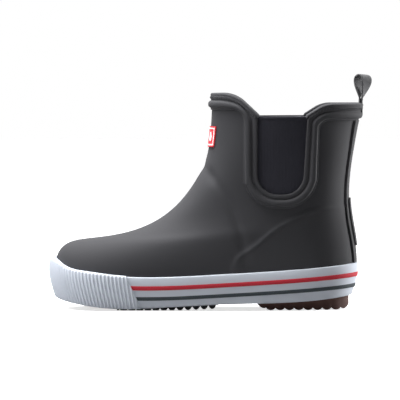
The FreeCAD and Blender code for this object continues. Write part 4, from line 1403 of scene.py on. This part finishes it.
SLOT_FINISHES = {
    "upper_rubber": UPPER_RUBBER, "trim_rubber": TRIM_RUBBER, "foxing_rubber": SIDEWALL_RUBBER,
    "stripe_red": RED_RUBBER, "stripe_dark": DARK_RUBBER, "outsole_rubber": TREAD_RUBBER,
    "heel_rubber": HEEL_RUBBER, "midsole_rubber": MIDSOLE_FOAM, "stiffener": STIFFENER, "filler_cork": CORK,
    "shank_steel": SHANK_STEEL, "board_fibre": BOARD, "webbing": WEBBING, "lining_knit": LINING,
    "elastic_web": ELASTIC, "label_red": LABEL_RED, "footbed_foam": FOOTBED_CLOTH,
}
NODE_SLOTS = {
    "backstay": "trim_rubber", "heel_patch": "trim_rubber",
    "midsole": "midsole_rubber", "sole_filler": "filler_cork", "shank": "shank_steel",
    "insole_board": "board_fibre", "toe_puff": "stiffener",
}


def dress_nodes() -> None:
    """Give the nodes that stay in sight their finishes."""
    for name, slot in NODE_SLOTS.items():
        node = frame["nodes"][name]
        node.data.materials.clear()
        node.data.materials.append(SLOT_FINISHES[slot].made())


# ------------------------------------------------------------------------------------------ the room
@dataclass
class Studio:
    """A pale sweep of floor, soft lights and the camera."""

    lens: float = 400.0
    across: float = 0.296
    aim: tuple[float, float, float] = (-0.0072, 0.0, 0.0802)
    elevation: float = 2.0
    dim: float = 0.03
    bright: float = 0.9

    def build(self) -> None:
        """Make the floor, the lights and the camera."""
        self.floor()
        self.light("overhead", (-0.30, 0.08, 1.10), (-0.02, 0, 0.05), (0.95, 0.70), 38.0)
        self.light("toe_side", (-0.82, -0.27, 0.62), (-0.02, 0, 0.05), (0.40, 0.40), 5.0)
        self.light("heel_side", (1.0, 0.40, 0.33), (0.05, 0, 0.08), (0.3, 0.7), 17.0)
        self.light("ridge_light", (-0.40, -0.75, 0.85), (0.02, 0, 0.08), (0.35, 0.35), 0.8)
        self.room()
        self.camera()
        bpy.context.scene.view_settings.view_transform = "Standard"

    def room(self) -> None:
        """The room: white to the camera; to reflections, bright behind the boot and dim in front."""
        world = bpy.data.worlds.new("studio")
        bpy.context.scene.world = world
        world.use_nodes = True
        tree = world.node_tree
        back = tree.nodes["Background"]
        back.inputs["Color"].default_value = (1, 1, 1, 1)
        place, apart = tree.nodes.new("ShaderNodeTexCoord"), tree.nodes.new("ShaderNodeSeparateXYZ")
        spread, rays = tree.nodes.new("ShaderNodeMapRange"), tree.nodes.new("ShaderNodeLightPath")
        seen = tree.nodes.new("ShaderNodeMath")
        seen.operation = "MAXIMUM"
        for socket, value in (("From Min", -0.25), ("From Max", 0.9), ("To Min", self.dim),
                              ("To Max", self.bright)):
            spread.inputs[socket].default_value = value
        tree.links.new(place.outputs["Generated"], apart.inputs[0])
        tree.links.new(apart.outputs["Y"], spread.inputs["Value"])
        tree.links.new(spread.outputs[0], seen.inputs[0])
        tree.links.new(rays.outputs["Is Camera Ray"], seen.inputs[1])
        tree.links.new(seen.outputs[0], back.inputs["Strength"])

    @staticmethod
    def floor() -> None:
        """A wide floor: white to the camera, greyer to reflections and bounced light."""
        bpy.ops.object.select_all(action="DESELECT")
        bpy.ops.mesh.primitive_plane_add(size=12.0, location=(0, 0, -0.0002))
        floor = bpy.context.object
        floor.name = "floor"
        nodes = Nodes("floor_paper")
        rays = nodes.add("LightPath").outputs["Is Camera Ray"]
        nodes.link(nodes.mix(rays, (0.28, 0.28, 0.28), (0.93, 0.93, 0.93)), nodes.shader.inputs["Base Color"])
        nodes.link(nodes.spread(rays, 0.0, 0.7, 0.0, 1.0), nodes.shader.inputs["Emission Strength"])
        nodes.shader.inputs["Roughness"].default_value = 0.9
        nodes.shader.inputs["Emission Color"].default_value = (1, 1, 1, 1)
        floor.data.materials.append(nodes.material)

    @staticmethod
    def light(name: str, place: Sequence[float], aim: Sequence[float], size: tuple[float, float],
              power: float) -> None:
        """One soft box.

        Args:
            name: its name.
            place: where it hangs.
            aim: what it faces.
            size: its width and height.
            power: its watts.
        """
        data = bpy.data.lights.new(name, "AREA")
        data.shape, data.size, data.size_y, data.energy = "RECTANGLE", *size, power
        lamp = bpy.data.objects.new(name, data)
        bpy.context.scene.collection.objects.link(lamp)
        way = np.array(aim) - np.array(place)
        lamp.location = place
        lamp.rotation_euler = Vector(way).to_track_quat("-Z", "Y").to_euler()

    def camera(self) -> None:
        """The camera, far off and a little above the boot."""
        data = bpy.data.cameras.new("camera")
        data.lens = self.lens
        camera = bpy.data.objects.new("camera", data)
        bpy.context.scene.collection.objects.link(camera)
        away = self.across * self.lens / data.sensor_width
        tilt = math.radians(self.elevation)
        back = Vector((0, -math.cos(tilt), math.sin(tilt)))
        camera.location = Vector(self.aim) + back * away
        camera.rotation_euler = (-back).to_track_quat("-Z", "Y").to_euler()
        bpy.context.scene.camera = camera


def main() -> None:
    """Build the boot piece by piece, and the studio round it."""
    logging.basicConfig(level=logging.INFO)
    hinge = tuple(frame["joints"][0]["pos_m"])
    dress_nodes()
    Upper().build()
    CollarWork().build()
    SoleUnit().build()
    FrontLabel().build()
    Footbed().build()
    PullLoop().build(hinge)
    Studio().build()


if __name__ == "__main__":
    main()
